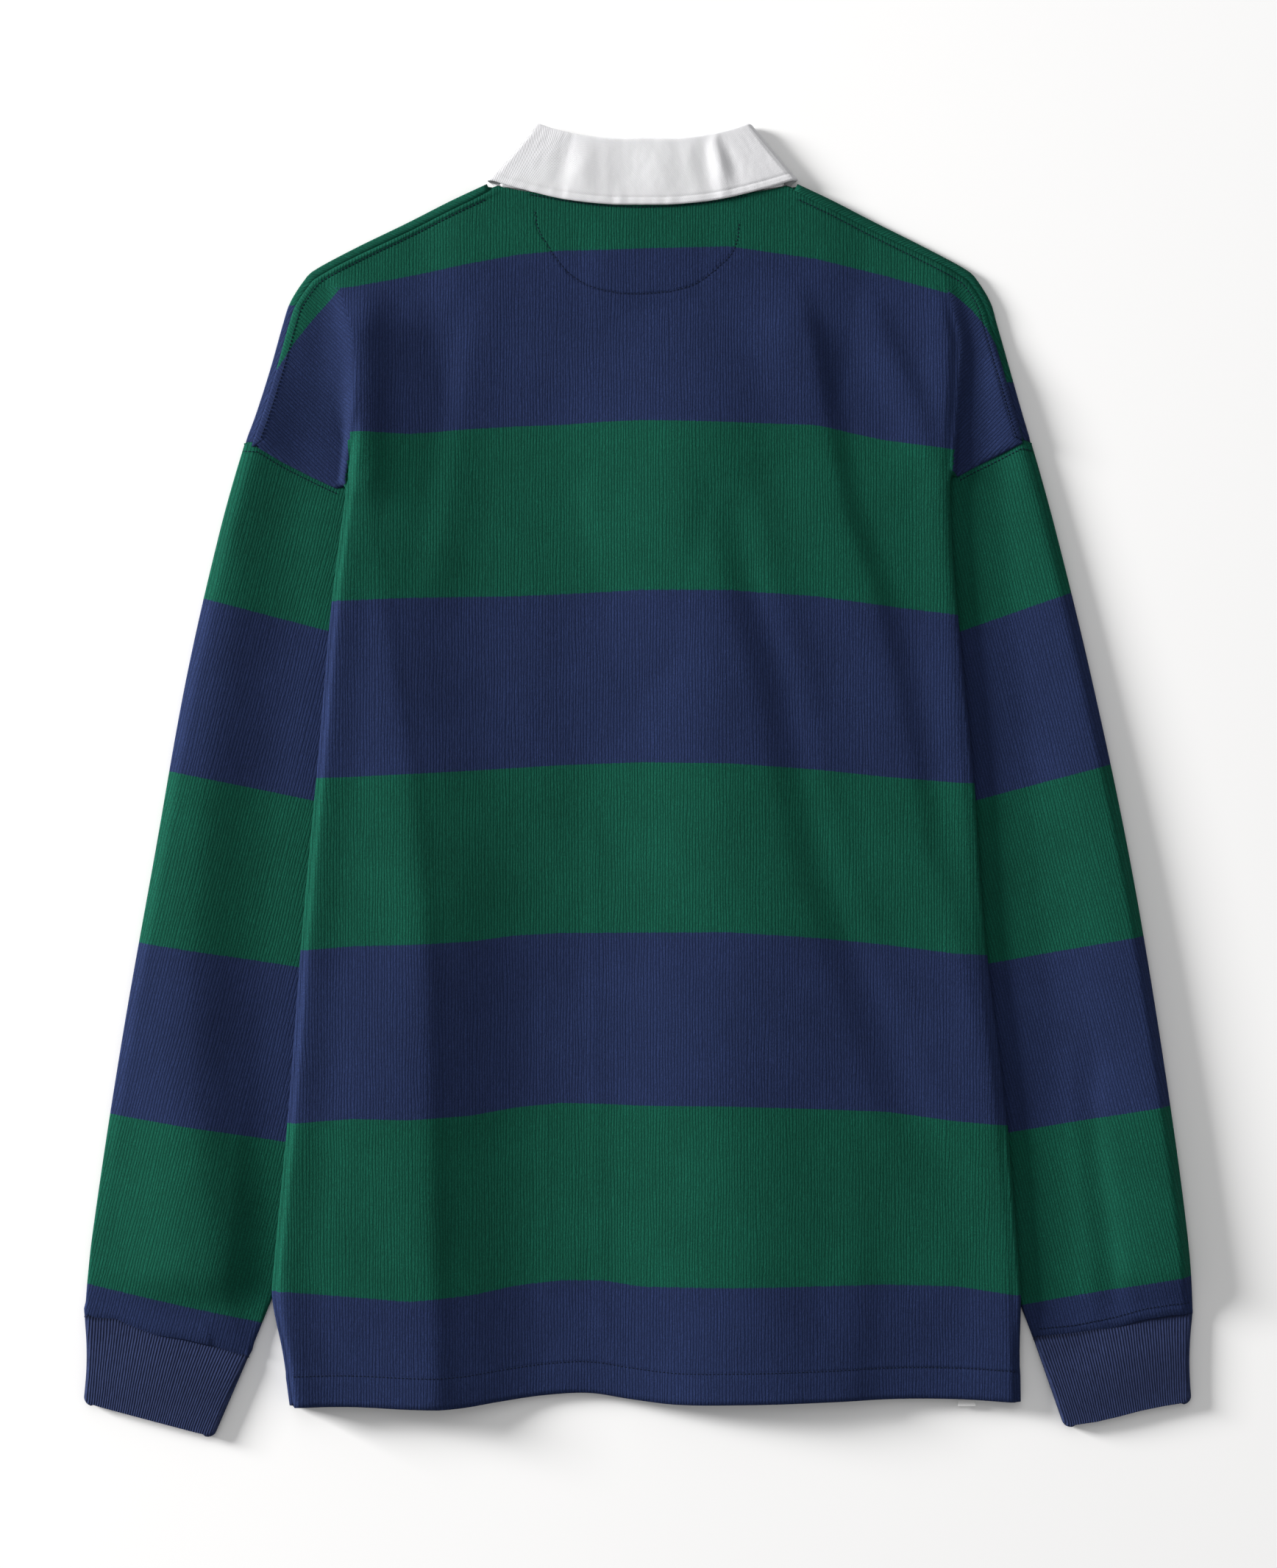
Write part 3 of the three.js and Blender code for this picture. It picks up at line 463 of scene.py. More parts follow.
def relief(x, y, ridges):
    """Sum of the ridges' heights. A right flank is steepest close to its crest, a left flank midway."""
    total = np.zeros(np.shape(x))
    for ridge in ridges:
        off, along, length = from_line(x, y, ridge["line"])
        share = np.clip(along / length, 0, 1)
        rise, left, right = (mix(ridge[key][0], ridge[key][1], share) for key in ("rise", "left", "right"))
        at = np.clip(np.abs(off) / np.where(off < 0, left, right), 0, 1)
        profile = np.where(off < 0, 1 - ease(0, 1, at), (1 - at) ** 3 * (1 + 3 * at))
        runs_out = ridge["line"][-1][1] <= RUNS_OUT_BELOW
        end = 1 if runs_out else ease(length + ridge["fade"] / 2, length - ridge["fade"], along)
        total = total + rise * profile * ease(-ridge["fade"], ridge["fade"], along) * end
    return total


def both_sides(x, function):
    return np.where(x < AXIS_X, function("left"), function("right"))


def inward_of(x, y):
    return both_sides(x, lambda side: SIDE[side] * (fold_x(side, y) - x))


def room(x, y, limits):
    """1 over a hidden piece in the middle of the front, falling to 0 round it."""
    return (1 - ease(*limits["across"], np.abs(x - AXIS_X))) * ease(*limits["down"], y)


def lift(x, y, panel="front"):
    """How far a panel is raised by the sleeves, the collar's points and the placket under it."""
    fall = LIFT_FALL[panel]
    most = 0.0
    for side, turn in SIDE.items():
        above = -turn * beside(x, y, ARMHOLE[side][-1], UNDERARM[side])
        beyond = -turn * beside(x, y, UNDERARM[side], SLEEVE_END_IN[side])
        near = (1 - ease(*fall["above"], above)) * (1 - ease(*fall["beyond"], beyond))
        inward = turn * (fold_x(side, y) - x)
        step = mix(-4.0, -10.0, ease(200, 260, y))
        most = np.maximum(most, UNDER_BODY * near * ease(step, -0.1 * step - 1.4, inward))
    return np.maximum(most, UNDER_FRONT * np.maximum(room(x, y, COLLAR_ROOM), room(x, y, PLACKET_ROOM)))


def arm_relief(x, y):
    """Height of the upper layer over a dropped shoulder or a sleeve, low at its edges."""
    edge = both_sides(x, lambda side: SIDE[side] * (outer_x(side, y) - x))
    height = both_sides(x, lambda side: relief(x, y, ARM_RIDGES[side]))
    return np.maximum(height, 0) * (0.3 + 0.7 * ease(0, 7, edge)) * ease(320, 280, y)


def loft(x, y):
    """Space between the body's two layers beyond the least."""
    inward = inward_of(x, y)
    placket = room(x, y, PLACKET_ROOM) * UNDER_FRONT
    relieved = BASE_LOFT + relief(x, y, BODY_RIDGES) * ease(RELIEF_TOP["none"], RELIEF_TOP["full"], y)
    open_ = np.maximum(np.maximum(relieved, LEAST_LOFT), placket) * ease(345, 296, y)
    rim = (2 * FOLD_RADIUS - JERSEY - LAYER_GAP) * (1 - ease(FOLD_TOP["full"], FOLD_TOP["y"], y))
    rolled = mix(rim, open_, ease(0, 5, inward))
    step = mix(5.0, 18.0, ease(200, 256, y))
    lower = ease(0, step, -inward) * ease(256, 200, y)
    shoulder = mix(open_, np.minimum(open_, BASE_LOFT), lower) + arm_relief(x, y) * ease(4, 30, -inward)
    outside = mix(rim, shoulder, ease(0, 5, -inward))
    soft = ease(182, 222, y)
    return np.where(inward >= 0, mix(rolled, open_, soft), mix(outside, shoulder, soft))


def front_z(x, y):
    return lift(x, y) + JERSEY / 2


def back_z(x, y):
    return lift(x, y, "back") + JERSEY / 2 + LAYERS + loft(x, y)


def shoulder_curve(side):
    """Fine points along the shoulder's edge with their distance along it."""
    rows = SHOULDER_EDGE
    at = np.linspace(0, len(rows) - 1, 400)
    steps = [{"at": k, "x": row[side], "y": row["y"]} for k, row in enumerate(rows)]
    x, y = curve(steps, "x", at, "at"), curve(steps, "y", at, "at")
    run = np.concatenate([[0], np.cumsum(np.hypot(np.diff(x), np.diff(y)))])
    return x, y, run / run[-1]


SHOULDERS = {side: shoulder_curve(side) for side in SIDE}


def shoulder_point(side, share, inset):
    x, y, run = SHOULDERS[side]
    here = np.interp(share, run, x), np.interp(share, run, y)
    ahead = np.interp(share + 0.004, run, x), np.interp(share + 0.004, run, y)
    before = np.interp(share - 0.004, run, x), np.interp(share - 0.004, run, y)
    dx, dy = ahead[0] - before[0], ahead[1] - before[1]
    size = math.hypot(dx, dy)
    dx, dy = dx / size, dy / size
    turn = SIDE[side]
    return here[0] + turn * dy * inset, here[1] - turn * dx * inset, (-turn * dy, turn * dx)


def tangents(points, axis, loop=False):
    if loop:
        before = points - np.roll(points, 1, axis)
        after = np.roll(points, -1, axis) - points
    else:
        step = np.diff(points, axis=axis)
        first, last = np.take(step, [0], axis), np.take(step, [-1], axis)
        before, after = np.concatenate([first, step], axis), np.concatenate([step, last], axis)
    before = before / np.maximum(np.linalg.norm(before, axis=-1, keepdims=True), 1e-9)
    after = after / np.maximum(np.linalg.norm(after, axis=-1, keepdims=True), 1e-9)
    return before + after


def normals_of(points, loop=False):
    normal = np.cross(tangents(points, 1, loop), tangents(points, 0))
    return normal / np.maximum(np.linalg.norm(normal, axis=-1, keepdims=True), 1e-9)


def cloth(name, points, thickness, uv, groove=None, loop=False, raised=None, other=None):
    """A closed wall round a grid of mid-wall points, with its pattern's place in decimetres.

    A second pattern, given with the points that it covers, takes the faces that lie wholly on them.
    """
    rows, columns = points.shape[:2]
    normal = normals_of(points, loop)
    half = thickness / 2
    outer = points - normal * (half if raised is None else (half + raised)[..., None])
    inner = points + normal * half
    skins = np.concatenate([inner.reshape(-1, 3), outer.reshape(-1, 3)]) * MM
    count = rows * columns
    i, j = np.meshgrid(np.arange(rows - 1), np.arange(columns if loop else columns - 1), indexing="ij")
    right = (j + 1) % columns
    a, b = (i * columns + j).ravel(), (i * columns + right).ravel()
    c, d = b + columns, a + columns
    faces = [np.stack([a, b, c, d], 1), count + np.stack([a, d, c, b], 1)]
    j = np.arange(columns if loop else columns - 1)
    right, low = (j + 1) % columns, (rows - 1) * columns
    faces.append(np.stack([j, count + j, count + right, right], 1))
    faces.append(np.stack([low + j, low + right, count + low + right, count + low + j], 1))
    if not loop:
        a = np.arange(rows - 1) * columns
        b, end = a + columns, columns - 1
        faces.append(np.stack([a, b, count + b, count + a], 1))
        faces.append(np.stack([a + end, count + a + end, count + b + end, b + end], 1))
    faces = np.concatenate(faces)
    mesh = bpy.data.meshes.new(name)
    mesh.from_pydata(skins.tolist(), [], faces.tolist())
    mesh.polygons.foreach_set("use_smooth", [True] * len(mesh.polygons))
    layer = mesh.uv_layers.new(name="cloth")
    corner = np.zeros(len(mesh.loops), np.int32)
    mesh.loops.foreach_get("vertex_index", corner)
    places = (np.concatenate([uv.reshape(-1, 2)] * 2) / 100.0)[corner]
    if other is not None:
        covered = np.concatenate([other[1].ravel()] * 2)[faces].all(axis=1)
        second = (np.concatenate([other[0].reshape(-1, 2)] * 2) / 100.0)[corner]
        places = np.where(np.repeat(covered, 4)[:, None], second, places)
    layer.data.foreach_set("uv", places.astype(np.float32).ravel())
    if groove is not None:
        line = mesh.attributes.new("groove", "FLOAT", "POINT")
        line.data.foreach_set("value", np.concatenate([groove.ravel()] * 2).astype(np.float32))
    mesh.update()
    obj = bpy.data.objects.new(name, mesh)
    bpy.context.scene.collection.objects.link(obj)
    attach(obj, "root")
    return obj


def pattern_body(x, y):
    """Place along the body's length that sets its hoops."""
    levels = np.stack([np.interp(x, HOOP_X, row) for row in HOOP_ROWS])
    value = FIRST_NAVY + (levels[0] - y)
    for k in range(len(HOOP_ROWS) - 1):
        share = (levels[k] - y) / (levels[k] - levels[k + 1])
        value = np.where(y < levels[k], FIRST_NAVY + HOOP * (k + share), value)
    last = len(HOOP_ROWS) - 1
    return np.where(y < levels[last], FIRST_NAVY + HOOP * last + (levels[last] - y), value)


def pattern_shoulder(x, y):
    """Pattern of the dropped shoulders and the points that it covers."""
    places = []
    for side, turn in SIDE.items():
        off = from_line(x, y, SHOULDER_HOOP[side])[0]
        across = x * math.cos(SHOULDER_LEAN) - turn * y * math.sin(SHOULDER_LEAN)
        places.append(np.stack([across, FIRST_NAVY - turn * off], -1))
    shoulder = np.where((x < AXIS_X)[..., None], places[0], places[1])
    return shoulder, (inward_of(x, y) < -0.5) & (y < 296)


def grooves(x, y, lines):
    nearest = np.full(np.shape(x), 60.0)
    for line in lines:
        off, _, _ = from_line(x, y, line)
        nearest = np.minimum(nearest, np.abs(off))
    return nearest


def hem_y(x):
    return curve(HEM_LINE, "y", x, "x")


def hem_shift(x, y):
    """How far a point is moved along the body so that the last row lies on the hem's line."""
    return (hem_y(x) - HEM_Y) * ease(-260, HEM_Y, y)


# Lines of stitching on the back, from the same edges as the cloth
def inset_line(side, inset, first, last, count):
    places = [shoulder_point(side, share, inset) for share in np.linspace(first, last, count)]
    return [(place[0], place[1]) for place in places]


def smooth_line(points, count=80):
    steps = [{"at": k, "x": point[0], "y": point[1]} for k, point in enumerate(points)]
    at = np.linspace(0, len(points) - 1, count)
    return list(zip(curve(steps, "x", at, "at"), curve(steps, "y", at, "at")))


SHOULDER_SEAM = {side: inset_line(side, SHOULDER_SEAM_IN, 0, 1, 60) for side in SIDE}
NECK_PATCH = smooth_line(NECK_PATCH)
SHOULDER_STITCH = {side: inset_line(side, SHOULDER_SEAM_IN + 2.9, 0.02, 0.985, 60) for side in SIDE}
HEM_STITCH = [(x, float(hem_y(x)) + HEM_DEPTH) for x in np.linspace(-206, 226, 60)]

# Points on half a row of the back: up to its bend's flank, on the flank, and beyond the bend
INSIDE = 52
BEND = 8
OUTSIDE = 14
# Points on half a row of the front: on the surface, round the shoulder's edge, and on the back
FLAT = 48
ROUND = 7
OVER = 6
STRIP = ROUND + OVER


def row_middle(k):
    return float(np.interp(k, range(len(ROW_MIDDLES)), ROW_MIDDLES))


def row_side(turn, middle_y, end, reaches):
    end_reach = turn * (end[0] - AXIS_X)
    return AXIS_X + turn * reaches, mix(middle_y, end[1], (reaches / end_reach) ** 2)


def inner_reaches(bend):
    middle = np.linspace(0, bend - FLANK, INSIDE)
    return np.concatenate([middle, np.linspace(bend - FLANK, bend, BEND + 1)[1:-1]])


def back_end(side, k):
    """Where a row of the back ends: on the shoulder's seam, then on the armhole."""
    turn = SIDE[side]
    share = SEAM_END[side] * min(max(k, 1), SEAM_ROWS) / SEAM_ROWS
    x, y, _ = shoulder_point(side, share, SHOULDER_SEAM_IN + SEAM_GAP)
    if k < 1:
        neck = (AXIS_X + turn * BACK_NECK["reach"], BACK_NECK["end_y"])
        return mix(neck[0], x, k), mix(neck[1], y, k)
    if k <= SEAM_ROWS:
        return x, y
    corners = [(x, y)] + [(px, py + SEAM_GAP / 2) for px, py in ARMHOLE[side][1:]]
    at = k - SEAM_ROWS
    xs, ys = zip(*corners)
    return np.interp(at, range(len(corners)), xs), np.interp(at, range(len(corners)), ys)


def bend_in(side, k, middle_y, end):
    turn = SIDE[side]
    end_reach = turn * (end[0] - AXIS_X)
    early = end_reach * mix(0.8, 0.86, min(k, 4) / 4)
    first = turn * (float(fold_x(side, 280)) - AXIS_X)
    sag = mix(middle_y, end[1], (first / end_reach) ** 2)
    late = min(end_reach - 4, turn * (float(fold_x(side, sag)) - AXIS_X) - 1)
    return mix(early, late, float(share_between(4, 5, k)))


def join_sides(left, right):
    return np.concatenate([left[1:][::-1], right])


def upper_row(k):
    """A row of the back over the yoke and the dropped shoulders."""
    middle_y = row_middle(k)
    sides = []
    for side, turn in SIDE.items():
        end = back_end(side, k)
        bend = bend_in(side, k, middle_y, end)
        end_reach = turn * (end[0] - AXIS_X)
        outside = mix(bend, end_reach, np.linspace(0, 1, OUTSIDE + 1) ** 1.5)
        reaches = np.concatenate([inner_reaches(bend), outside])
        x, y = row_side(turn, middle_y, end, reaches)
        row = np.stack([x, y, back_z(x, y), turn * reaches], -1)
        sides.append(np.concatenate([row, seam_dip(row)]))
    return join_sides(*sides)


def seam_dip(row):
    """Two points past a row's end where the cloth turns down into a seam."""
    run = row[-1, :2] - row[-2, :2]
    run = run / np.linalg.norm(run)
    points = []
    x, y, z, across = row[-1]
    for out, down in ((0.7, 0.45 * SEAM_DIP), (1.1, SEAM_DIP)):
        points.append([x + run[0] * out, y + run[1] * out, z - down, across + out])
    return np.array(points)


def body_table(name, m):
    return float(np.interp(m, range(len(BODY_ROWS)), [row[name] for row in BODY_ROWS]))


def lower_row(m):
    sides = []
    centre = body_table("centre", m)
    for side, turn in SIDE.items():
        end_y = body_table(side, m)
        bend_x = float(fold_x(side, end_y)) - turn * (FOLD_RADIUS + JERSEY / 2)
        bend = turn * (bend_x - AXIS_X)
        reaches = inner_reaches(bend)
        x, y = row_side(turn, centre, (bend_x, end_y), reaches)
        y = y + hem_shift(x, y)
        top = np.stack([x, y, back_z(x, y), turn * reaches], -1)
        end_y = end_y + float(hem_shift(bend_x, end_y))
        low = float(front_z(bend_x, end_y))
        angle = np.radians(np.linspace(88, -90, OUTSIDE - 4))
        rx = bend_x + turn * FOLD_RADIUS * np.cos(angle)
        rz = low + FOLD_RADIUS * (1 + np.sin(angle))
        arc = FOLD_RADIUS * (math.pi / 2 - angle)
        roll = np.stack([rx, np.full_like(rx, end_y), rz, turn * (bend + arc)], -1)
        under = np.linspace(0, SIDE_SEAM_IN - 4, 8)[1:]
        ux, uy = row_side(turn, centre, (bend_x, body_table(side, m)), bend - under)
        uy = uy + hem_shift(ux, uy)
        flat = np.stack([ux, uy, front_z(ux, uy), turn * (bend + arc[-1] + under)], -1)
        sides.append(np.concatenate([top, roll, flat]))
    return join_sides(*sides)


def body_steps(spacing):
    sides = np.array([(row["left"] + row["centre"]) / 2 for row in BODY_ROWS])
    run = np.abs(np.diff(sides))
    steps = [0.0]
    for k, length in enumerate(run):
        count = max(1, round(length / spacing))
        steps += list(k + np.arange(1, count + 1) / count)
    return steps


def make_back():
    upper = [upper_row(k) for k in np.arange(0, LAST_ROW + 0.001, 1 / 8)]
    lower = [lower_row(m) for m in body_steps(3.4)]
    between = [mix(upper[-1], lower[0], share) for share in (0.25, 0.5, 0.75)]
    grid = np.array(upper + between + lower)
    x, y = grid[..., 0], grid[..., 1]
    uv = np.stack([grid[..., 3], pattern_body(x, y)], -1)
    lines = [SHOULDER_STITCH["left"], SHOULDER_STITCH["right"], NECK_PATCH, HEM_STITCH, NECK_STITCH]
    hem = ease(HEM_DEPTH + 1.5, HEM_DEPTH - 1.5, y - hem_y(x)) * (grid[..., 2] > 3)
    to_seam = grooves(x, y, [SHOULDER_SEAM["left"], SHOULDER_SEAM["right"]])
    ridge = 0.55 * np.exp(-(((to_seam - 1.5) / 0.9) ** 2)) * (y > 202)
    raised = 0.35 * hem + ridge
    other = pattern_shoulder(x, y)
    return cloth("back_cloth", grid[..., :3], JERSEY, uv, grooves(x, y, lines), raised=raised, other=other)


def front_row_upper(k):
    """A front row that ends at the shoulder, turned up round the edge to the seam on the back."""
    middle_y = row_middle(k)
    sides = []
    inset = EDGE_RADIUS + JERSEY / 2
    for side, turn in SIDE.items():
        x, y, outward = shoulder_point(side, k / SEAM_ROWS, inset)
        reaches = np.linspace(0, turn * (x - AXIS_X), FLAT)
        rx, ry = row_side(turn, middle_y, (x, y), reaches)
        flat = np.stack([rx, ry, front_z(rx, ry), turn * reaches], -1)
        low = float(front_z(x, y))
        angle = np.radians(np.linspace(-70, 70, ROUND))
        out = EDGE_RADIUS * np.cos(angle)
        z = low + EDGE_RADIUS * (1 + np.sin(angle))
        bend = np.stack([x + outward[0] * out, y + outward[1] * out, z, turn * (reaches[-1] + out)], -1)
        on_back = float(np.interp(k, [0, 0.5], [3, SHOULDER_SEAM_IN - inset + 0.4]))
        back = np.linspace(0.1, on_back, OVER)
        share = np.linspace(0.1, 1, OVER)
        swell = 0.5 * np.sin(np.pi * share) - SEAM_DIP * ease(0.6, 1, share)
        swell = swell + float(arm_relief(x, y)) * ease(0, 1, share)
        z = low + 2 * EDGE_RADIUS + swell
        across = turn * (reaches[-1] + 3 + back)
        over = np.stack([x - outward[0] * back, y - outward[1] * back, z, across], -1)
        sides.append(np.concatenate([flat, bend, over]))
    return join_sides(*sides)


def front_row_armhole(k):
    """A front row that ends at the armhole. Its last points start close together, as on the rows above."""
    sides = []
    middle_y = row_middle(k)
    for side, turn in SIDE.items():
        x, y = back_end(side, k)
        reach = turn * (x - AXIS_X) - 12 * float(share_between(11, 12, k))
        close = mix(2.0, reach * STRIP / (FLAT + STRIP), float(share_between(SEAM_ROWS + 0.25, LAST_ROW, k)))
        last = np.linspace(reach - close, reach, STRIP + 1)[1:]
        reaches = np.concatenate([np.linspace(0, reach - close, FLAT), last])
        rx, ry = row_side(turn, middle_y, (x, y), reaches)
        sides.append(np.stack([rx, ry, front_z(rx, ry), turn * reaches], -1))
    return join_sides(*sides)


def front_row_lower(m):
    sides = []
    centre = body_table("centre", m)
    for side, turn in SIDE.items():
        end_y = body_table(side, m)
        bend_x = float(fold_x(side, end_y)) - turn * (FOLD_RADIUS + JERSEY / 2)
        bend = turn * (bend_x - AXIS_X)
        reaches = np.linspace(0, bend - (SIDE_SEAM_IN - 4) - SEAM_GAP, FLAT + STRIP)
        x, y = row_side(turn, centre, (bend_x, end_y), reaches)
        y = y + hem_shift(x, y) + FRONT_SHORTER * ease(-330, HEM_Y, y)
        sides.append(np.stack([x, y, front_z(x, y), turn * reaches], -1))
    return join_sides(*sides)


def make_front():
    """The front under the back, without what lies above its neck seam."""
    grid = [front_row_upper(k) for k in np.arange(0, SEAM_ROWS + 0.001, 1 / 8)]
    grid += [front_row_armhole(k) for k in np.arange(SEAM_ROWS + 0.25, LAST_ROW + 0.001, 1 / 4)]
    grid += [front_row_lower(m) for m in body_steps(7)]
    grid = np.array(grid)
    x, y = grid[..., 0], grid[..., 1]
    place = pattern_body(x, y)
    strip = np.zeros(x.shape, bool)
    strip[:, :STRIP] = strip[:, -STRIP:] = True
    strip &= y > 200
    switch = np.where(x < AXIS_X, STRIP_NAVY_BELOW["left"], STRIP_NAVY_BELOW["right"])
    uv = np.stack([grid[..., 3], np.where(strip, FIRST_NAVY + np.maximum(switch - y, -90), place)], -1)
    return cloth("front_cloth", grid[..., :3], JERSEY, uv, np.full(x.shape, 60.0))


def tube(name, rows, thickness, radius, top_z, uv_of, counts, groove_of, raised_of=None):
    """A flattened tube on the surface. Each row gives the point at a distance from its outer end."""
    across_count, arc_count = counts
    grid = []
    for row in rows:
        width = row["width"]
        inset = radius + thickness / 2
        across = np.linspace(inset, width - inset, across_count)
        points = np.array([row["at"](d / width) for d in across])
        ends = []
        for which, (here, beyond) in enumerate([(inset, inset + 1), (width - inset, width - inset - 1)]):
            point = np.array(row["at"](here / width))
            inner = np.array(row["at"](beyond / width))
            outward = (point - inner) / np.linalg.norm(point - inner)
            low = thickness / 2
            middle = (low + float(top_z(*point))) / 2
            angle = np.radians(np.linspace(90, -90, arc_count + 2)[1:-1])
            if which == 0:
                angle = angle[::-1]
            out = radius * np.cos(angle)
            height = (middle - low) * np.sin(angle)
            arc = np.stack([point[0] + outward[0] * out, point[1] + outward[1] * out, middle + height], -1)
            ends.append(arc)
        dip = row.get("dip", 0.0)
        top = np.column_stack([points, top_z(points[:, 0], points[:, 1]) - dip])
        under = np.column_stack([points[::-1], np.full(across_count, thickness / 2)])
        grid.append(np.concatenate([top, ends[1], under, ends[0]]))
    grid = np.array(grid)
    x, y = grid[..., 0], grid[..., 1]
    upper = grid[..., 2] > thickness
    raised = None if raised_of is None else raised_of(x, y) * upper
    return cloth(name, grid, thickness, uv_of(x, y), groove_of(x, y), loop=True, raised=raised)


def along_line(points, share):
    points = np.array(points, float)
    run = np.concatenate([[0], np.cumsum(np.linalg.norm(np.diff(points, axis=0), axis=1))])
    at = share * run[-1]
    return np.array([np.interp(at, run, points[:, 0]), np.interp(at, run, points[:, 1])])


def pattern_sleeve(side, x, y):
    lines = SLEEVE_HOOPS[side]
    levels = [line["y"] + line["slope"] * (x - line["x"]) for line in lines]
    value = FIRST_NAVY + (levels[0] - y)
    for k in range(len(lines) - 1):
        share = (levels[k] - y) / (levels[k] - levels[k + 1])
        value = np.where(y < levels[k], FIRST_NAVY + HOOP * (k + share), value)
    return np.where(y < levels[-1], FIRST_NAVY + HOOP * 4 + (levels[-1] - y), value)


def armhole_line(side, inset):
    """The sleeve's upper edge down to the underarm, with a corner tucked in under the body's fold."""
    line = [(x, y - SEAM_GAP) for x, y in ARMHOLE[side]]
    first = (float(outer_x(side, SLEEVE_TOP_Y)), SLEEVE_TOP_Y)
    tucked = (line[-1][0] - SIDE[side] * TUCK[0], line[-1][1] + TUCK[1])
    return [(px, py - inset) for px, py in [first] + line[1:] + [tucked, UNDERARM[side]]]


def sleeve_top(x, y):
    at_cuff = 0.35 + 0.65 * ease(-318, -292, y)
    beyond = both_sides(x, lambda side: ease(*ARM_START[side], -inward_of(x, y)))
    return JERSEY / 2 + LAYERS + arm_relief(x, y) * beyond * at_cuff


def make_sleeve(side):
    line = armhole_line(side, 0)
    end = SLEEVE_END_IN[side]
    controls = [{"outer": np.array(line[0]), "inner": np.array(line[-1]), "fade": 1.0}]
    for k, step in enumerate(SLEEVE_STEPS):
        outer = np.array([float(outer_x(side, step["outer_y"])), step["outer_y"]])
        inner = mix(np.array(UNDERARM[side]), np.array(end), step["inner"])
        controls.append({"outer": outer, "inner": inner, "fade": max(0.0, 1 - (k + 1) / 4)})
    straight = controls[0]

    def bulge(share):
        return along_line(line, share) - mix(straight["outer"], straight["inner"], share)

    rows = []
    for k in range(len(controls) - 1):
        a, b = controls[k], controls[k + 1]
        gap = np.linalg.norm(b["outer"] - a["outer"])
        count = max(2, round(gap / 4))
        last = k == len(controls) - 2
        for share in np.linspace(0, 1, count + 1)[: None if last else -1]:
            outer, inner = mix(a["outer"], b["outer"], share), mix(a["inner"], b["inner"], share)
            outer = np.array([float(outer_x(side, outer[1])), outer[1]])
            fade = mix(a["fade"], b["fade"], share)
            rows.append(
                {
                    "width": np.linalg.norm(inner - outer),
                    "at": lambda s, o=outer, i=inner, f=fade: mix(o, i, s) + bulge(s) * f,
                }
            )
    seam_curve = CUFF_SEAM[side]
    straight_end = rows[-1]["at"]
    for row in rows:
        low = float(np.clip((-292 - row["at"](0.5)[1]) / 33, 0, 1))
        plain = row["at"]
        row["at"] = lambda s, p=plain, f=low: p(s) + (along_line(seam_curve, s) - straight_end(s)) * f
    first, last = dict(rows[0]), dict(rows[-1])
    first["at"] = lambda s, p=rows[0]["at"]: p(s) + np.array([0, 1.0])
    last["at"] = lambda s, p=rows[-1]["at"]: p(s) - np.array([0, 0.9])
    first["dip"], last["dip"] = SEAM_DIP, 1.6
    rows = [first] + rows + [last]
    lean = math.atan2(SIDE[side] * 0.26, 1)

    def uv_of(x, y):
        across = x * math.cos(lean) + y * math.sin(lean)
        return np.stack([across, pattern_sleeve(side, x, y)], -1)

    armhole = armhole_line(side, 0)
    seam = armhole_line(side, ARMHOLE_STITCH_IN)
    above = [(px, py + CUFF_STITCH_IN) for px, py in seam_curve]

    def groove_of(x, y):
        return grooves(x, y, [seam, above])

    def raised_of(x, y):
        by_cuff = np.exp(-(((grooves(x, y, [seam_curve]) - 3.0) / 2.2) ** 2))
        by_armhole = np.exp(-(((grooves(x, y, [armhole]) - 1.9) / 1.3) ** 2))
        return 0.9 * by_cuff + 0.6 * by_armhole

    name = f"sleeve_{side}_cloth"
    return tube(name, rows, JERSEY, EDGE_RADIUS, sleeve_top, uv_of, (64, 5), groove_of, raised_of)


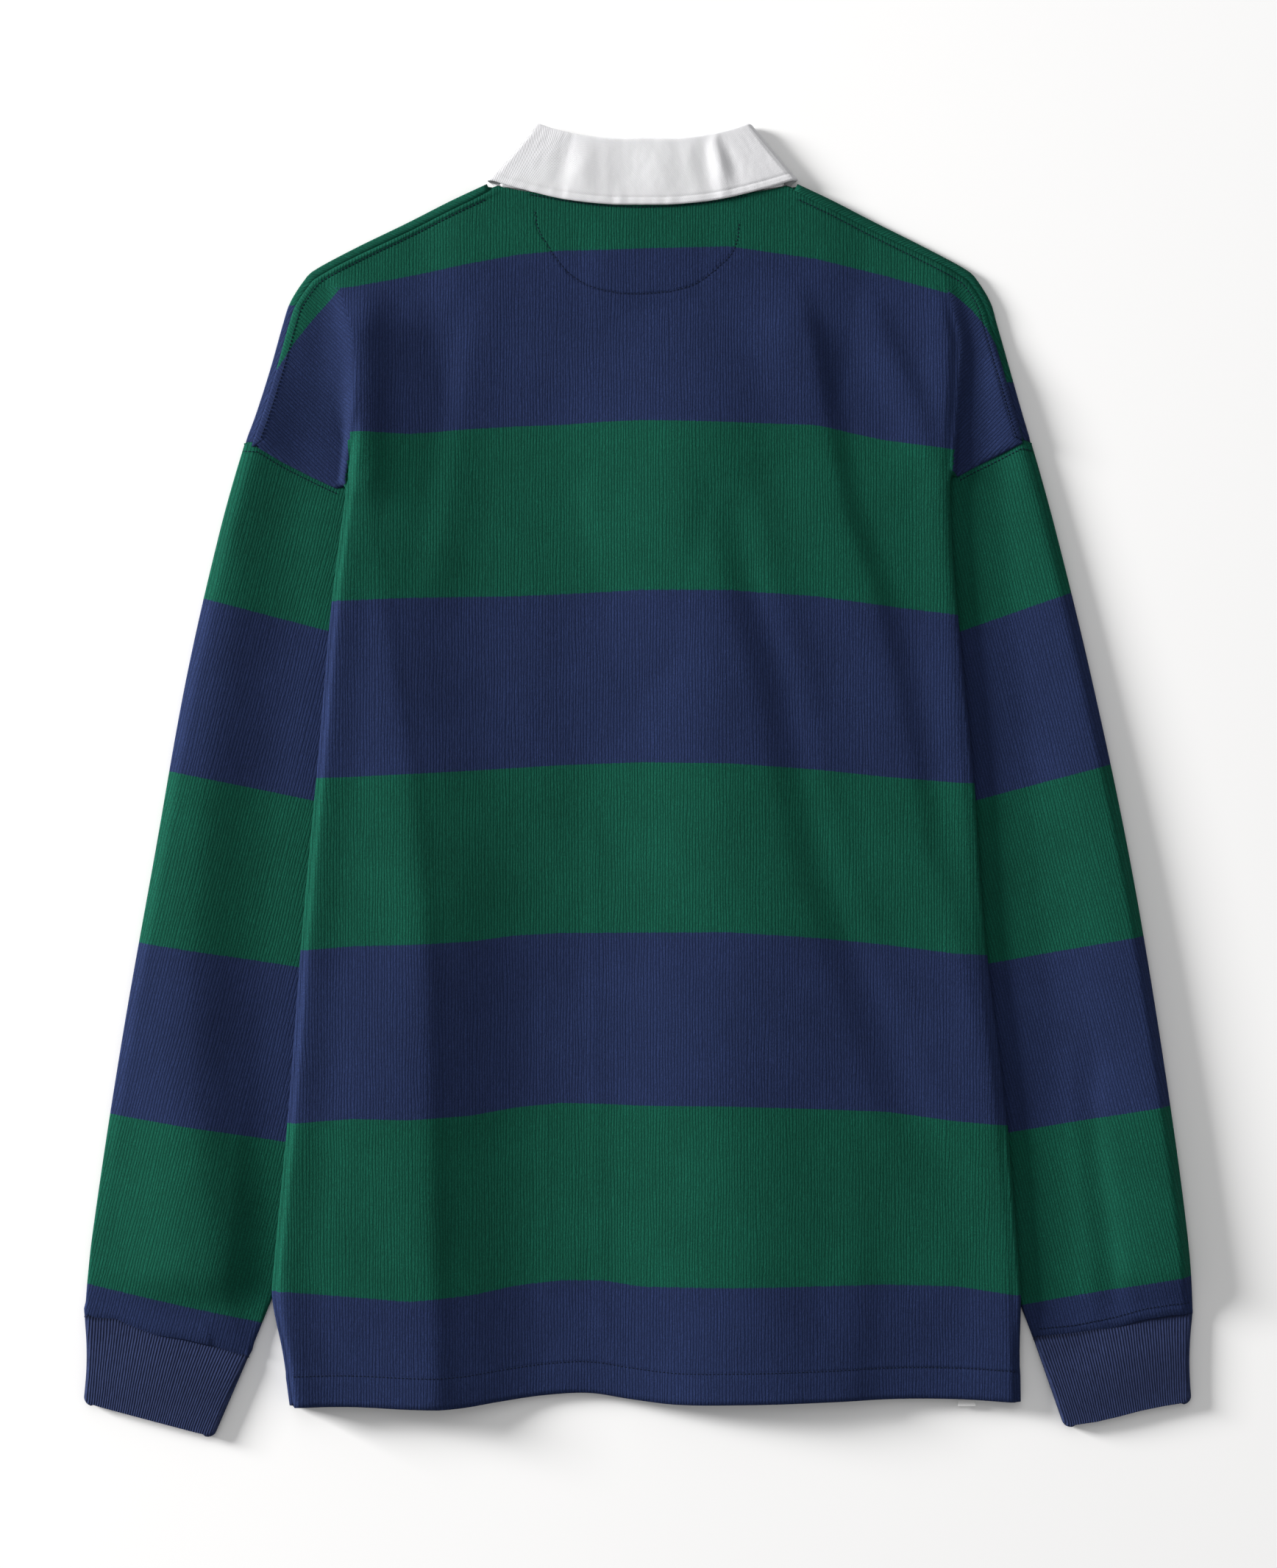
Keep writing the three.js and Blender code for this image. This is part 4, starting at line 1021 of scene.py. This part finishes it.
def make_cuff(side):
    top_line, low_line = CUFF_SEAM[side], CUFF_EDGE[side]
    depth = 51.0
    turn = SIDE[side]

    def point(s, share):
        waist = CUFF_WAIST * math.sin(math.pi * share) * (1 - s)
        return mix(along_line(top_line, s), along_line(low_line, s), share) - np.array([turn * waist, 0])

    rows = []
    corner = CUFF_CORNER / depth
    shares = [-0.018, *np.linspace(0, 1 - corner, 20)]
    shares += [1 - corner * left for left in (0.75, 0.5, 0.3, 0.15, 0.05, 0)]
    for share in map(float, shares):
        width = np.linalg.norm(point(1, share) - point(0, share))
        t = np.clip((share - 1 + corner) / corner, 0, 1)
        cut = CUFF_CORNER * (1 - math.sqrt(max(0.0, 1 - t * t))) / width
        rows.append(
            {
                "width": width * (1 - 2 * cut),
                "at": lambda s, c=cut, f=share: point(c + s * (1 - 2 * c), f),
                "dip": 1.5 if share < 0 else 0.0,
            }
        )
    radius = (RIB + LAYER_GAP) / 2
    first, chord = np.array(top_line[0]), np.subtract(top_line[-1], top_line[0])
    length = float(np.linalg.norm(chord))
    chord = chord / length
    bows = [np.subtract(place, first) for place in top_line]
    bow_at = [float(bow @ chord) for bow in bows]
    bow_off = [float(turn * (bow[0] * chord[1] - bow[1] * chord[0])) for bow in bows]

    def from_seam(x, y):
        """Distance from the seam and place along it, by the straight line between the seam's ends."""
        along = (x - first[0]) * chord[0] + (y - first[1]) * chord[1]
        off = turn * ((x - first[0]) * chord[1] - (y - first[1]) * chord[0])
        return off - np.interp(along, bow_at, bow_off), along

    def top_z(x, y):
        off, along = from_seam(x, y)
        off = np.abs(off)
        belly = CUFF_BELLY * np.sin(np.pi * np.clip(along / length * 1.05 - 0.02, 0, 1))
        belly = belly * ease(2, 22, off) * (0.4 + 0.6 * ease(52, 26, off))
        ripple = CUFF_RIPPLE * np.sin(along / 7.3 + 1.2) * ease(30, 6, off) * ease(1, 6, off)
        return RIB / 2 + 2 * radius + 0.5 + belly + ripple - 0.5 * ease(3, 0, off)

    def uv_of(x, y):
        off, along = from_seam(x, y)
        narrow = np.linalg.norm(np.subtract(low_line[-1], low_line[0]))
        squeeze = mix(1, length / narrow, share_between(0, depth, np.abs(off)))
        return np.stack([(along - length / 2) * squeeze, np.abs(off)], -1)

    def groove_of(x, y):
        return np.abs(from_seam(x, y)[0])

    return tube(f"cuff_{side}_cloth", rows, RIB, radius, top_z, uv_of, (64, 6), groove_of)


def make_collar():
    fine = 9
    steps = np.linspace(0, len(COLLAR) - 1, (len(COLLAR) - 1) * fine + 1)
    numbers = {}
    for key in ("fold", "edge", "seam"):
        for axis in (0, 1):
            rows = [{"at": k, "v": row[key][axis]} for k, row in enumerate(COLLAR)]
            numbers[key, axis] = curve(rows, "v", steps, "at")
    turns = np.interp(steps, range(len(COLLAR)), [row["turn"] for row in COLLAR])
    half = COLLAR_FOLD + COLLAR_SIDE
    columns = []
    for turn in (-1, 1):
        side_columns = []
        for k in range(len(steps)):
            angle = math.radians(turns[k])
            normal = np.array([turn * math.cos(angle), 0, math.sin(angle)])
            fold, edge, seam = (
                np.array([AXIS_X + turn * numbers[key, 0][k], numbers[key, 1][k], COLLAR_MIDDLE])
                for key in ("fold", "edge", "seam")
            )
            upward = (fold - seam) / np.linalg.norm(fold - seam)
            top = turns[k] > 80
            along = turn * numbers["edge", 0][k]
            leaf = []
            for share in np.linspace(1, 0.04, 26):
                swell = 0.0
                if top:
                    swell = collar_relief(along, share)
                leaf.append(mix(fold, edge, share) + normal * (half + COLLAR_FOLD + swell))
            bend = []
            for theta in np.radians(np.linspace(0, 180, 11)):
                out = half + COLLAR_FOLD * math.cos(theta)
                bend.append(fold + normal * out + upward * COLLAR_FOLD * math.sin(theta))
            inner = normal * (half - COLLAR_FOLD)
            stand = [mix(fold, seam, share) + inner for share in np.linspace(0.05, 1, 14)]
            side_columns.append(np.array(leaf + bend + stand))
        columns.append(side_columns)
    grid = join_sides(np.array(columns[0]), np.array(columns[1]))
    down = np.concatenate([[0], np.cumsum(np.linalg.norm(np.diff(grid[len(grid) // 2], axis=0), axis=-1))])
    along = np.concatenate([[0], np.cumsum(np.linalg.norm(np.diff(grid[:, 12], axis=0), axis=-1))])
    uv = np.stack(np.meshgrid(along, down, indexing="ij"), -1)
    groove = np.abs(uv[..., 1] - 4.6)
    return cloth("collar_cloth", grid, TWILL, uv, groove)


COLLAR_RIDGES = [
    {"at": 51, "width": 5.0, "rise": 1.5, "middle": 0.45},
    {"at": 60, "width": 5.0, "rise": -0.7, "middle": 0.5},
    {"at": 41, "width": 5.5, "rise": -0.9, "middle": 0.5},
    {"at": 12, "width": 9.0, "rise": 0.5, "middle": 0.4},
    {"at": -10, "width": 7.0, "rise": -0.5, "middle": 0.6},
    {"at": -38, "width": 9.0, "rise": 0.9, "middle": 0.5},
    {"at": -52, "width": 6.0, "rise": -0.6, "middle": 0.5},
]


def collar_relief(along, share):
    """Soft ridges and puckers of the leaf on the back: rise over its plain surface."""
    total = 0.3 * math.sin(math.pi * share)
    for ridge in COLLAR_RIDGES:
        across = math.exp(-(((along - ridge["at"]) / ridge["width"]) ** 2))
        total += ridge["rise"] * across * math.exp(-(((share - ridge["middle"]) / 0.38) ** 2))
    pucker = math.sin(along * 0.78 + 1.3 * math.sin(along * 0.17)) * math.exp(-(((share - 0.92) / 0.06) ** 2))
    return max(total + 0.28 * pucker * float(ease(80, 62, abs(along))), -0.4)


def stitches(name, line, height, material, spacing=2.3, length=1.5, radius=0.32, sink=-0.12, wander=0.0):
    """A row of stitches along a line in plan, each a small rounded dash lying on the cloth."""
    points = np.array(line, float)
    run = np.concatenate([[0], np.cumsum(np.linalg.norm(np.diff(points, axis=0), axis=1))])
    starts = np.arange(spacing / 2, run[-1] - spacing / 2, spacing)
    rng = np.random.default_rng(len(line) * 7 + int(run[-1]))
    vertices, faces = [], []
    ring = np.linspace(0, 2 * math.pi, 7)[:-1]
    stations = [(-1.0, 0.25), (-0.8, 0.75), (0.0, 1.0), (0.8, 0.75), (1.0, 0.25)]
    for at in starts:
        shift = rng.normal(0, wander) if wander else 0.0
        x, y = (np.interp(at, run, points[:, k]) for k in (0, 1))
        nx, ny = (np.interp(at + 0.5, run, points[:, k]) for k in (0, 1))
        direction = np.array([nx - x, ny - y])
        direction /= max(np.linalg.norm(direction), 1e-9)
        side = np.array([-direction[1], direction[0]])
        x, y = x + side[0] * shift, y + side[1] * shift
        base = len(vertices)
        for place, size in stations:
            px = x + direction[0] * place * length / 2
            py = y + direction[1] * place * length / 2
            z = float(height(px, py)) - sink
            for angle in ring:
                across = math.cos(angle) * radius * size
                top = z + math.sin(angle) * radius * size
                vertices.append((px + side[0] * across, py + side[1] * across, top))
        for k in range(len(stations) - 1):
            for n in range(6):
                a, b = base + k * 6 + n, base + k * 6 + (n + 1) % 6
                faces.append((a, b, b + 6, a + 6))
        faces.append(tuple(base + n for n in reversed(range(6))))
        faces.append(tuple(base + 24 + n for n in range(6)))
    mesh = bpy.data.meshes.new(name)
    mesh.from_pydata((np.array(vertices) * MM).tolist(), [], faces)
    mesh.polygons.foreach_set("use_smooth", [True] * len(mesh.polygons))
    mesh.materials.append(material)
    obj = bpy.data.objects.new(name, mesh)
    bpy.context.scene.collection.objects.link(obj)
    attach(obj, "root")
    return obj


class Nodes:
    """A material's nodes, made one after another."""

    def __init__(self, name, roughness, sheen=0.0):
        self.material = bpy.data.materials.new(name)
        self.material.use_nodes = True
        self.tree = self.material.node_tree
        self.shader = next(n for n in self.tree.nodes if n.type == "BSDF_PRINCIPLED")
        self.shader.inputs["Roughness"].default_value = roughness
        self.shader.inputs["Specular IOR Level"].default_value = 0.08
        self.shader.inputs["Sheen Weight"].default_value = sheen
        self.shader.inputs["Sheen Roughness"].default_value = 0.5

    def socket(self, target, value):
        if hasattr(value, "links"):
            self.tree.links.new(value, target)
        else:
            target.default_value = value

    def math(self, operation, *values):
        node = self.tree.nodes.new("ShaderNodeMath")
        node.operation = operation
        for k, value in enumerate(values):
            self.socket(node.inputs[k], value)
        return node.outputs[0]

    def place(self):
        node = self.tree.nodes.new("ShaderNodeUVMap")
        node.uv_map = "cloth"
        parts = self.tree.nodes.new("ShaderNodeSeparateXYZ")
        self.tree.links.new(node.outputs[0], parts.inputs[0])
        u = self.math("MULTIPLY", parts.outputs[0], 100.0)
        v = self.math("MULTIPLY", parts.outputs[1], 100.0)
        return u, v

    def vector(self, x, y, z=0.0):
        node = self.tree.nodes.new("ShaderNodeCombineXYZ")
        for k, value in enumerate((x, y, z)):
            self.socket(node.inputs[k], value)
        return node.outputs[0]

    def noise(self, vector, detail=2.0, roughness=0.5):
        node = self.tree.nodes.new("ShaderNodeTexNoise")
        self.tree.links.new(vector, node.inputs["Vector"])
        node.inputs["Scale"].default_value = 1.0
        node.inputs["Detail"].default_value = detail
        node.inputs["Roughness"].default_value = roughness
        return node.outputs[0]

    def mix(self, share, a, b, blend="MIX"):
        node = self.tree.nodes.new("ShaderNodeMix")
        node.data_type = "RGBA"
        node.blend_type = blend
        self.socket(node.inputs[0], share)
        self.socket(node.inputs[6], a)
        self.socket(node.inputs[7], b)
        return node.outputs[2]

    def streaks(self, u, v, across, down, detail=2.0, roughness=0.5):
        """Noise in the cloth's own pattern, with its frequencies across and down the cloth."""
        place = self.vector(self.math("MULTIPLY", u, across), self.math("MULTIPLY", v, down))
        return self.noise(place, detail, roughness)

    def weigh(self, total, value, weight, middle=0.5):
        """Adds a value's departure from its middle, times its weight."""
        return self.math("MULTIPLY_ADD", self.math("ADD", value, -middle), weight, total)

    def close_to_line(self, width):
        """1 on a line of stitching, falling to 0 on both sides."""
        share = self.math("POWER", self.math("DIVIDE", self.groove(), width), 2.0)
        return self.math("EXPONENT", self.math("MULTIPLY", share, -1.0))

    def grey(self, value):
        node = self.tree.nodes.new("ShaderNodeCombineColor")
        for k in range(3):
            self.tree.links.new(value, node.inputs[k])
        return node.outputs[0]

    def groove(self):
        node = self.tree.nodes.new("ShaderNodeAttribute")
        node.attribute_name = "groove"
        return node.outputs["Fac"]

    def finish(self, colour, height, distance):
        bump = self.tree.nodes.new("ShaderNodeBump")
        bump.inputs["Strength"].default_value = 1.0
        bump.inputs["Distance"].default_value = distance
        self.tree.links.new(height, bump.inputs["Height"])
        self.tree.links.new(bump.outputs[0], self.shader.inputs["Normal"])
        self.socket(self.shader.inputs["Base Color"], colour)
        return self.material


GREEN = (0.0040, 0.0585, 0.0370, 1)
NAVY = (0.0128, 0.0212, 0.0630, 1)
RIB_NAVY = (0.0190, 0.0270, 0.0690, 1)
WHITE = (0.66, 0.66, 0.68, 1)


def jersey_material():
    n = Nodes("hooped_jersey", 0.95)
    u, v = n.place()
    ragged = n.streaks(u, v, 0.9, 0.2)
    edge = n.math("MULTIPLY_ADD", ragged, 1.2, -0.6 - FIRST_NAVY)
    place = n.math("DIVIDE", n.math("ADD", v, edge), 2 * HOOP)
    navy = n.math("LESS_THAN", n.math("FRACT", place), 0.5)
    base = n.mix(navy, GREEN, NAVY)
    drift = n.streaks(u, v, 0.16, 0.02, 1.0)
    wale = n.math("SINE", n.math("MULTIPLY_ADD", u, 2 * math.pi / WALE, n.math("MULTIPLY", drift, 10.0)))
    long = n.streaks(u, v, 0.5, 0.07, 2.0, 0.6)
    short = n.streaks(u, v, 0.85, 0.3, 2.0, 0.6)
    grain = n.streaks(u, v, 1.5, 1.1, 2.0, 0.6)
    cloud = n.streaks(u, v, 0.03, 0.02, 3.0, 0.55)
    streak = n.math("ADD", n.math("MULTIPLY", long, 0.6), n.math("MULTIPLY", short, 1.4))
    # The gaps between the wales are sunk in the bump and also darkened in the colour below as painted shade
    between = n.math("MAXIMUM", n.math("MULTIPLY", wale, -1.0), 0.0)
    gap = n.math("MULTIPLY", between, n.math("POWER", streak, 2.0))
    # Mask of the lines of stitching: it sinks the bump there and darkens the colour as painted shade in their
    # grooves
    near = n.close_to_line(0.9)
    tone = n.math("MULTIPLY", n.math("ADD", streak, -1.0), 0.6)
    tone = n.weigh(tone, grain, 1.4)
    tone = n.weigh(tone, cloud, 0.4)
    # Painted shade in the gaps between the wales
    tone = n.math("MULTIPLY_ADD", gap, -0.3, tone)
    # Painted shade along the lines of stitching
    tone = n.math("MULTIPLY_ADD", near, -0.26, tone)
    tone = n.math("EXPONENT", n.math("ADD", tone, 0.11))
    colour = n.mix(1.0, base, n.grey(tone), "MULTIPLY")
    height = n.math("MULTIPLY_ADD", gap, -0.32, n.math("MULTIPLY", streak, 0.5))
    height = n.math("MULTIPLY_ADD", grain, 0.5, height)
    height = n.math("MULTIPLY_ADD", near, -0.8, height)
    return n.finish(colour, height, 0.0004)


def rib_material():
    n = Nodes("navy_rib_knit", 0.95)
    u, v = n.place()
    drift = n.streaks(u, v, 0.2, 0.05, 2.0)
    rib = n.math("SINE", n.math("MULTIPLY_ADD", u, 2 * math.pi / RIB_PITCH, n.math("MULTIPLY", drift, 4.0)))
    loops = n.streaks(u, v, 0.7, 0.22, 2.0, 0.6)
    grain = n.streaks(u, v, 1.6, 1.4, 2.0, 0.6)
    near = n.close_to_line(1.3)
    # Painted shade: the rib's valleys are darker and its crests lighter in the colour
    tone = n.math("MULTIPLY", rib, 0.2)
    tone = n.weigh(tone, loops, 0.8)
    tone = n.weigh(tone, grain, 0.9)
    # Painted shadow: a strong dark line along the seam between sleeve and cuff
    tone = n.math("MULTIPLY_ADD", near, -0.7, tone)
    tone = n.math("EXPONENT", tone)
    colour = n.mix(1.0, RIB_NAVY, n.grey(tone), "MULTIPLY")
    height = n.math("MULTIPLY_ADD", rib, 0.5, n.math("MULTIPLY", loops, 0.5))
    return n.finish(colour, height, 0.0005)


def twill_material():
    n = Nodes("white_twill", 0.85, 0.1)
    u, v = n.place()
    diagonal = n.math("SINE", n.math("MULTIPLY", n.math("ADD", u, v), 2 * math.pi / 1.1))
    fine = n.streaks(u, v, 1.6, 1.6, 2.0, 0.6)
    soft = n.streaks(u, v, 0.09, 0.05, 2.0)
    near = n.math("EXPONENT", n.math("MULTIPLY", n.math("POWER", n.groove(), 2.0), -1.2))
    tone = n.math("MULTIPLY_ADD", fine, 0.08, 0.96)
    # Painted shade along the collar's line of topstitching
    tone = n.math("MULTIPLY", tone, n.math("MULTIPLY_ADD", near, -0.06, 1.0))
    colour = n.mix(1.0, WHITE, n.grey(tone), "MULTIPLY")
    height = n.math("MULTIPLY_ADD", diagonal, 0.1, n.math("MULTIPLY", fine, 0.3))
    height = n.math("MULTIPLY_ADD", soft, 1.6, height)
    height = n.math("MULTIPLY_ADD", near, -0.5, height)
    return n.finish(colour, height, 0.0005)


def plain_material(name, colour, roughness, grain, distance):
    """For hidden pieces carried over from the solids, patterned in the object's own space."""
    n = Nodes(name, roughness)
    node = n.tree.nodes.new("ShaderNodeTexCoord")
    noise = n.tree.nodes.new("ShaderNodeTexNoise")
    noise.inputs["Scale"].default_value = grain
    noise.inputs["Detail"].default_value = 3.0
    n.tree.links.new(node.outputs["Object"], noise.inputs["Vector"])
    tone = n.math("MULTIPLY_ADD", noise.outputs[0], 0.16, 0.92)
    colour = n.mix(1.0, colour, n.grey(tone), "MULTIPLY")
    return n.finish(colour, noise.outputs[0], distance)


jersey = jersey_material()
rib = rib_material()
twill = twill_material()
# The stitches' dark colour is partly the thread's own and partly painted shade of the holes between the
# stitches
thread_with_hole_shade = plain_material("dark_thread_with_hole_shade", (0.005, 0.009, 0.022, 1), 0.8, 900.0, 0.0001)
plain_twill = plain_material("plain_twill", WHITE, 0.85, 700.0, 0.0002)
rubber = plain_material("button_rubber", (0.74, 0.73, 0.70, 1), 0.45, 260.0, 0.0001)
tape = plain_material("label_tape", (0.78, 0.78, 0.78, 1), 0.6, 900.0, 0.0001)


def dress(obj, material, node):
    obj.data.materials.append(material)
    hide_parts(node)
    return obj


dress(make_back(), jersey, "back")
dress(make_front(), jersey, "front")
for side in SIDE:
    dress(make_sleeve(side), jersey, f"sleeve_{side}")
    dress(make_cuff(side), rib, f"cuff_{side}")
dress(make_collar(), twill, "collar")

KEPT = {"placket_upper": plain_twill, "placket_under": plain_twill, "care_label": tape}
KEPT |= {f"button_{k}": rubber for k in (1, 2, 3)}
for name, material in KEPT.items():
    node = bpy.data.objects[name]
    node.data.materials.clear()
    node.data.materials.append(material)


def on_back(x, y):
    return back_z(x, y) + JERSEY / 2


def on_sleeve(x, y):
    return sleeve_top(x, y) + JERSEY / 2


for side in SIDE:
    stitches(f"stitch_shoulder_{side}", SHOULDER_STITCH[side], on_back, thread_with_hole_shade)
    armhole = armhole_line(side, ARMHOLE_STITCH_IN)[:-2]
    stitches(f"stitch_armhole_{side}", armhole, on_sleeve, thread_with_hole_shade)
    above = np.array([0, CUFF_STITCH_IN])
    cuff = [tuple(along_line(CUFF_SEAM[side], share) + above) for share in np.linspace(0.02, 0.98, 30)]
    stitches(f"stitch_cuff_{side}", cuff, on_sleeve, thread_with_hole_shade)
stitches("stitch_neck_patch", NECK_PATCH, on_back, thread_with_hole_shade, radius=0.26, sink=0.0, wander=0.1)
stitches("stitch_hem", HEM_STITCH, on_back, thread_with_hole_shade)
stitches("stitch_neck", NECK_STITCH, on_back, thread_with_hole_shade)


def floor():
    bpy.ops.mesh.primitive_plane_add(size=6, location=(0, 0, -0.0004))
    plane = bpy.context.object
    plane.name = "floor"
    n = Nodes("pale_floor", 0.9)
    node = n.tree.nodes.new("ShaderNodeTexCoord")
    noise = n.tree.nodes.new("ShaderNodeTexNoise")
    noise.inputs["Scale"].default_value = 3.0
    n.tree.links.new(node.outputs["Object"], noise.inputs["Vector"])
    tone = n.math("MULTIPLY_ADD", noise.outputs[0], 0.01, 0.89)
    n.tree.links.new(n.grey(tone), n.shader.inputs["Base Color"])
    plane.data.materials.append(n.material)


def area_light(name, place, size, power, colour):
    data = bpy.data.lights.new(name, "AREA")
    data.shape = "SQUARE"
    data.size = size
    data.energy = power
    data.color = colour
    light = bpy.data.objects.new(name, data)
    light.location = place
    light.rotation_euler = (-Vector(place)).to_track_quat("-Z", "Y").to_euler()
    bpy.context.scene.collection.objects.link(light)


floor()
area_light("low key from the left", place=(-6.4, 2.2, 1.88), size=1.8, power=1120, colour=(1.0, 0.99, 0.98))
area_light("soft top", place=(-0.6, 1.6, 3.2), size=2.4, power=18, colour=(1.0, 1.0, 1.0))

WORLD_STRENGTH = 0.40
world = bpy.data.worlds.new("studio")
world.use_nodes = True
world.node_tree.nodes["Background"].inputs[0].default_value = (1, 1, 1, 1)
world.node_tree.nodes["Background"].inputs[1].default_value = WORLD_STRENGTH
bpy.context.scene.world = world

camera_data = bpy.data.cameras.new("camera")
camera_data.lens = 90
camera_data.sensor_width = 36
FRAME_HEIGHT = 0.9376
camera = bpy.data.objects.new("camera", camera_data)
camera.location = (0, -0.0022, 0.005 + FRAME_HEIGHT * camera_data.lens / camera_data.sensor_width)
bpy.context.scene.collection.objects.link(camera)
bpy.context.scene.camera = camera
bpy.context.scene.view_settings.view_transform = "Standard"
